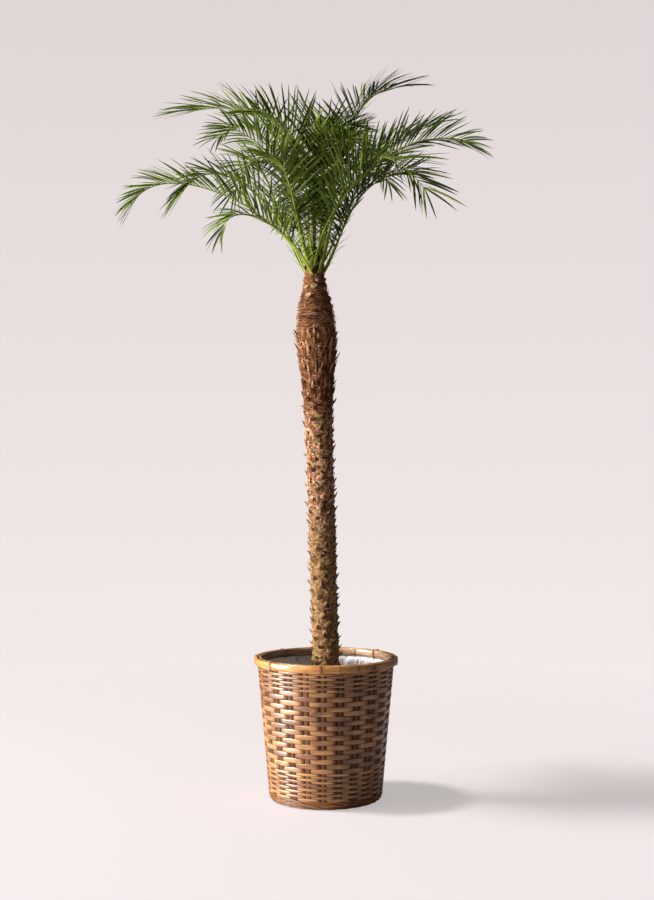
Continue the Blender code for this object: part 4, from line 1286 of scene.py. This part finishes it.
# tier, foot, heading, reach, rise, lean, dip, arch, longest leaflet, droop of the leaflets,
# roll of the leaflets' plane towards the tip, spread, size of the last leaflets, lightness (painted light:
# lighter on the left fronds, darker on the right)
frondPaths = {
    "frond_left_low": (0, 0, 193.7, 0.344, 0.203, 16.9, 57.9, 0.96, 0.135, 0.11, -2, 1.01, 0.65, 0.55),
    "frond_front_left_low": (0, 1, 214.3, 0.275, 0.092, 45.4, 76.1, 0.92, 0.117, 0.11, -7, 1.00, 0.56, 0.45),
    "frond_right_front": (0, 2, 321.4, 0.348, 0.183, 18.4, 50.4, 1.48, 0.179, 0.05, 34, 1.03, 0.61, 0.30),
    "frond_right_low": (0, 3, 357.3, 0.249, 0.270, 21.2, -5.8, 0.93, 0.137, 0.09, -25, 1.04, 0.66, 0.25),
    "frond_back_right_low": (0, 4, 57.7, 0.386, 0.311, 34.4, 43.1, 0.96, 0.132, 0.11, 5, 1.05, 0.58, 0.30),
    "frond_back_low": (0, 5, 100.2, 0.401, 0.223, 36.6, 49.5, 0.86, 0.135, 0.10, 8, 1.02, 0.62, 0.30),
    "frond_back_left_low": (0, 6, 126.3, 0.384, 0.284, 28.9, 47.4, 1.12, 0.150, 0.11, 1, 1.02, 0.63, 0.35),
    "frond_left_long": (1, 0, 178.3, 0.472, 0.168, 23.1, 61.7, 0.70, 0.154, 0.04, -13, 1.03, 0.53, 0.70),
    "frond_front": (1, 1, 237.9, 0.248, 0.231, 16.6, 30.7, 1.00, 0.133, 0.10, 16, 1.01, 0.62, 0.50),
    "frond_right_long": (1, 2, 335.7, 0.412, 0.284, 41.3, 23.5, 0.80, 0.141, 0.09, -27, 0.99, 0.67, 0.35),
    "frond_front_right": (1, 3, 307.6, 0.190, 0.286, 16.2, 36.3, 1.00, 0.115, 0.09, -8, 1.01, 0.58, 0.35),
    "frond_right_upper": (1, 4, 15.6, 0.347, 0.396, 22.0, -19.6, 0.90, 0.132, 0.06, -4, 0.95, 0.63, 0.35),
    "frond_back": (1, 5, 70.6, 0.366, 0.378, 27.3, 39.3, 1.02, 0.147, 0.09, -3, 0.96, 0.59, 0.35),
    "frond_back_left": (1, 6, 138.0, 0.361, 0.392, 20.5, 23.7, 0.94, 0.140, 0.09, 3, 1.03, 0.56, 0.40),
    "frond_left_front": (2, 0, 205.7, 0.233, 0.311, 13.7, -17.1, 0.97, 0.127, 0.13, 41, 1.03, 0.65, 0.60),
    "frond_left_upright": (2, 1, 216.3, 0.172, 0.348, 12.3, 0.5, 0.95, 0.159, 0.05, 23, 1.05, 0.63, 0.50),
    "frond_front_upright": (2, 2, 295.3, 0.129, 0.275, 10.0, 23.9, 0.99, 0.120, 0.10, -2, 1.00, 0.59, 0.45),
    "frond_right_upright": (2, 3, 355.8, 0.096, 0.340, 8.1, 2.6, 0.94, 0.146, 0.06, -17, 1.00, 0.58, 0.35),
    "frond_upper_right": (2, 4, 33.4, 0.252, 0.474, 17.4, -18.0, 0.90, 0.176, 0.09, 11, 1.11, 0.76, 0.25),
    "frond_top": (2, 5, 87.7, 0.229, 0.407, 10.4, 0.5, 0.92, 0.162, 0.04, 38, 1.01, 0.57, 0.25),
    "frond_upper_left": (2, 6, 159.7, 0.340, 0.409, 8.4, 5.0, 1.04, 0.171, 0.07, -16, 1.12, 0.74, 0.60),
}


def rachisPath(entry):  # a smooth curve from the foot to the tip, and a frame of directions along it
    tier, foot, heading, reach, rise, lean, dip, arch = entry[:8]
    height = crown["tierHeights"][tier]
    step = 360 / crown["feet"]
    footAngle = crown["firstPlace"] + step * foot - step / 2 * (tier % 2)
    middle, outward, ahead = stemMiddle(height), compass(footAngle), compass(heading)
    start = middle + outward * crown["footOut"]
    end = middle + ahead * reach + Vector((0, 0, rise))
    leanAngle, dipAngle = math.radians(lean), math.radians(dip)
    leave = outward * math.sin(leanAngle) + Vector((0, 0, math.cos(leanAngle)))
    arrive = ahead * math.cos(dipAngle) - Vector((0, 0, math.sin(dipAngle)))
    pull = (end - start).length * arch
    first = start + leave * pull * crown["startPull"]
    second = end - arrive * pull * crown["endPull"]

    def point(share):
        rest = 1 - share
        made = start * rest**3 + first * (3 * rest * rest * share)
        return made + second * (3 * rest * share * share) + end * share**3

    def directions(share):
        along = (point(min(share + 0.01, 1)) - point(max(share - 0.01, 0))).normalized()
        side = compass(heading + 90)
        side = (side - along * side.dot(along)).normalized()
        return point(share), along, side, along.cross(side)

    return point, directions, outward


def inCadBox(spot):
    return all(low < at < high for low, at, high in zip(cadBox[0], spot, cadBox[1]))


def addLeaflet(bm, root, along, side, up, sign, leafy, length, droop, chance, width, shade, spread=1.0):
    forward = between(leaflets["forward"], leafy) * spread
    forward = math.radians(forward + chance.uniform(-leaflets["forwardSpread"], leaflets["forwardSpread"]))
    lift = between(leaflets["lift"], leafy)
    lift = math.radians(lift + chance.uniform(-leaflets["liftSpread"], leaflets["liftSpread"]))
    outward = side * (sign * math.cos(lift)) + up * math.sin(lift)
    aim = along * math.cos(forward) + outward * math.sin(forward)
    across = (along - aim * along.dot(aim)).normalized()
    normal = aim.cross(across)
    if normal.dot(up) < 0:
        normal = -normal
    curl = chance.uniform(*leaflets["curl"])
    sag = droop * chance.uniform(*leaflets["sag"])
    while not inCadBox(root + (aim + along * curl) * length):
        length *= leaflets["shorten"]
    twist = chance.uniform(-leaflets["twist"], leaflets["twist"])
    turned = chance.gauss(0, leaflets["turned"])
    bow = chance.uniform(*leaflets["bow"])
    widest = leaflets["widest"]

    def shape(point):
        share = point.z
        middle = root + aim * length * share + along * length * curl * share * share
        middle += normal * length * bow * math.sin(math.pi * share)
        middle.z -= length * sag * share * share
        if share < widest:
            wide = width * (0.45 + 0.55 * smoothStep(0, widest, share))
        else:
            wide = width * (1 - ((share - widest) / (1 - widest)) ** 3.4) + 0.0003
        roll = turned + twist * share
        left = across * math.cos(roll) + normal * math.sin(roll)
        top = normal * math.cos(roll) - across * math.sin(roll)
        thick = leaflets["thickness"] * (1 - 0.7 * share)
        folded = leaflets["fold"] * abs(point.x) * wide / 2
        return middle + left * point.x * wide / 2 + top * (point.y * thick + folded)

    addBlank(bm, tubeBlank(4, 8), shape, along=lengthwise, stalk=0.0, tint=shade)


def rolled(side, up, degrees):
    turn = math.radians(degrees)
    return side * math.cos(turn) + up * math.sin(turn), up * math.cos(turn) - side * math.sin(turn)


def stalkSize(share):
    return [between(crown[name], share**0.8) for name in ("stalkWidth", "stalkHeight")]


def makeFrond(name, entry, number):
    chance = random.Random(crown["seed"] + number)
    point, directions, outward = rachisPath(entry)
    longest, droop, roll, spread, tipSize, light = entry[8:]
    length = sum((point((i + 1) / 40) - point(i / 40)).length for i in range(40))
    bm = bmesh.new()

    def rachisShape(blankPoint):
        share = blankPoint.z
        here, _, side, up = directions(share)
        wide, high = stalkSize(share)
        flare = math.exp(-share * 24)
        wide *= 1 + crown["footFlare"] * flare
        rise = blankPoint.y * high / 2
        if blankPoint.y > 0.3:  # flatter on top
            rise *= 0.72
        return here - outward * crown["footSink"] * flare + side * blankPoint.x * wide / 2 + up * rise

    addBlank(bm, tubeBlank(10, 36), rachisShape, along=lengthwise, stalk=1.0, tint=light)
    count = int(length * crown["countShare"] / crown["spacing"])
    for sign in (1, -1):
        for i in range(count):
            leafy = (i + 0.5 + chance.uniform(-0.22, 0.22)) / count
            share = crown["bareShare"] + (1 - crown["bareShare"]) * leafy
            here, along, side, up = directions(share)
            if leafy < 0.3:
                size = between((0.35, 1.0), leafy / 0.3)
            else:
                size = between((1.0, tipSize), (leafy - 0.3) / 0.7)
            size *= longest * chance.uniform(*leaflets["sizeSpread"])
            root = here + side * sign * stalkSize(share)[0] * 0.30 + up * 0.0008
            width = leaflets["width"] * chance.uniform(*leaflets["widthSpread"])
            width *= (0.72 if leafy < 0.08 else 1) * between((1.0, 0.86), leafy)
            # the frond's lightness is painted light, lighter on the left and darker on the right; the random
            # spread is the leaflets' own tone
            shade = light + leaflets["tintShift"] + chance.gauss(0, leaflets["tintSpread"])
            shade = min(max(shade, 0.0), 1.0)
            side, up = rolled(side, up, roll * leafy)
            addLeaflet(bm, root, along, side, up, sign, leafy, size, droop, chance, width, shade, spread)
    here, along, side, up = directions(1.0)
    side, up = rolled(side, up, roll)
    for sign in (1, -1):  # the last pair, on the tip
        addLeaflet(
            bm, here - along * 0.004, along, side, up, sign, 1.35, longest * tipSize * 0.92,
            droop, chance, leaflets["width"], light,
        )
    for sign in (1, -1):  # thin spines low on the stalk
        for i in range(spines["count"]):
            share = spines["first"] + spines["step"] * i + chance.uniform(-0.006, 0.006)
            here, along, side, up = directions(share)
            size = chance.uniform(*spines["length"])
            addLeaflet(
                bm, here + side * sign * spines["out"], along, side, up, sign, chance.uniform(0.1, 0.5),
                size, spines["droop"], chance, spines["width"], spines["tint"],
            )
    finishPiece("palm_" + name, bm, palmLeaf, [name], sharp=38)


spear = {"foot": 1.4253, "length": 0.298, "pleats": 9, "pleatDepth": 0.10, "radii": (
    (0, 0.3, 0.8, 0.97, 1), (0.0060, 0.0059, 0.0034, 0.0012, 0.0003))}
spathe = {"foot": 1.4253, "length": 0.149, "facing": 277, "out": 0.016, "lean": 0.014, "cup": 0.0018,
          "thickness": 0.0007, "halves": ((0, 0.3, 0.7, 1), (0.0030, 0.0050, 0.0036, 0.0006))}


def makeSpear():
    bm = bmesh.new()
    foot = stemMiddle(spear["foot"])

    def shape(point):
        share = point.z
        size = float(np.interp(share, *spear["radii"]))
        turn = math.atan2(point.y, point.x)
        size *= 1 + spear["pleatDepth"] * math.sin(spear["pleats"] * turn + 6 * share)
        bend = Vector((0.003 * share * share, -0.002 * share, 0))
        return foot + bend + Vector((point.x * size, point.y * size, spear["length"] * share))

    addBlank(bm, tubeBlank(36, 40), shape, along=lengthwise)
    finishPiece("spearLeaf", bm, spearGreen, ["spear_leaf"], sharp=60)


def makeSpathe():
    bm = bmesh.new()
    away, across = compass(spathe["facing"]), compass(spathe["facing"] + 90)
    foot = stemMiddle(spathe["foot"])

    def shape(point):
        share = point.z
        half = float(np.interp(share, *spathe["halves"]))
        out = spathe["out"] + spathe["lean"] * share + spathe["cup"] * point.x * point.x
        middle = foot + away * out + Vector((0, 0, spathe["length"] * share))
        return middle + across * point.x * half + away * point.y * spathe["thickness"]

    addBlank(bm, tubeBlank(16, 24), shape)
    finishPiece("drySpathe", bm, spatheBrown, ["dry_spathe"], sharp=60)


for frondNumber, (frondName, frondEntry) in enumerate(frondPaths.items()):
    makeFrond(frondName, frondEntry, frondNumber)
makeSpear()
makeSpathe()


# floor, light and camera

studio = {
    # the floor covers the backdrop in part, and fades into it between two distances
    "floorColour": (0.61, 0.565, 0.62), "floorRadius": 7.0, "floorCover": 0.48, "floorFade": (0.9, 2.6),
    "backTop": (0.735, 0.665, 0.665), "backLow": (0.905, 0.845, 0.825), "backRange": (-0.20, 0.33),
    "shade": (0.92, 0.85, 0.83), "shadeStrength": 0.135,
    # the sun's angle is the width of a far lamp, in degrees
    "key": {
        "kind": "SUN", "place": (-4.69, 0.09, 8.83), "aim": (0, 0, 0), "angle": 9, "energy": 4.1,
        "color": (1.0, 0.95, 0.89),
    },
    "side": {
        "kind": "AREA", "place": (-4.9, -1.2, 0.55), "aim": (0, 0, 0.55), "shape": "RECTANGLE",
        "size": 2.6, "size_y": 0.9, "energy": 600, "color": (1.0, 0.96, 0.93),
    },
    "lens": 55.44, "eye": (0.003, -3.6, 0.86), "tilt": 0.62,
}


def makeFloor():
    bm = bmesh.new()
    bmesh.ops.create_circle(bm, cap_ends=True, segments=96, radius=studio["floorRadius"])
    mesh = bpy.data.meshes.new("studioFloor")
    bm.to_mesh(mesh)
    bm.free()
    floor = bpy.data.objects.new("studioFloor", mesh)
    scene.collection.objects.link(floor)
    finish = Finish("pale floor", Roughness=0.7)
    away = finish.add("VectorMath", {"operation": "LENGTH"}, {0: finish.place()}, out="Value")
    seen = finish.step(away, *studio["floorFade"], studio["floorCover"], 0.0)
    finish.connect(finish.shader.inputs["Alpha"], seen)
    mesh.materials.append(finish.paint(studio["floorColour"]))


def makeLight(name, settings):
    lamp = bpy.data.lights.new(name, settings["kind"])
    for key, value in settings.items():
        if key not in ("kind", "place", "aim"):
            setattr(lamp, key, math.radians(value) if key == "angle" else value)
    light = bpy.data.objects.new(name, lamp)
    light.location = settings["place"]
    aim = Vector(settings["aim"]) - Vector(settings["place"])
    light.rotation_euler = aim.to_track_quat("-Z", "Y").to_euler()
    scene.collection.objects.link(light)


def makeSky():  # the camera sees a pale backdrop, and the object is lit by a dimmer, cooler shade
    world = bpy.data.worlds.new("studio light")
    scene.world = world
    world.use_nodes = True
    tree = world.node_tree
    background = tree.nodes["Background"]
    source = tree.nodes.new("ShaderNodeTexCoord")
    parts = tree.nodes.new("ShaderNodeSeparateXYZ")
    ramp = tree.nodes.new("ShaderNodeValToRGB")
    shift = tree.nodes.new("ShaderNodeMapRange")
    rays = tree.nodes.new("ShaderNodeLightPath")
    seen = tree.nodes.new("ShaderNodeMix")
    seen.data_type = "RGBA"
    shift.inputs["From Min"].default_value, shift.inputs["From Max"].default_value = studio["backRange"]
    ramp.color_ramp.elements[0].color = (*studio["backLow"], 1)
    ramp.color_ramp.elements[1].color = (*studio["backTop"], 1)
    seen.inputs[6].default_value = (*[part * studio["shadeStrength"] for part in studio["shade"]], 1)
    tree.links.new(source.outputs["Generated"], parts.inputs[0])
    tree.links.new(parts.outputs["Z"], shift.inputs["Value"])
    tree.links.new(shift.outputs[0], ramp.inputs[0])
    tree.links.new(rays.outputs["Is Camera Ray"], seen.inputs[0])
    tree.links.new(ramp.outputs[0], seen.inputs[7])
    tree.links.new(seen.outputs[2], background.inputs["Color"])


def makeCamera():
    camera = bpy.data.objects.new("camera", bpy.data.cameras.new("camera"))
    camera.data.lens = studio["lens"]
    camera.location = studio["eye"]
    camera.rotation_euler = (math.radians(90 + studio["tilt"]), 0, 0)
    scene.collection.objects.link(camera)
    scene.camera = camera


makeFloor()
makeLight("key light", studio["key"])
makeLight("side light", studio["side"])
makeSky()
makeCamera()
scene.view_settings.view_transform = "Standard"
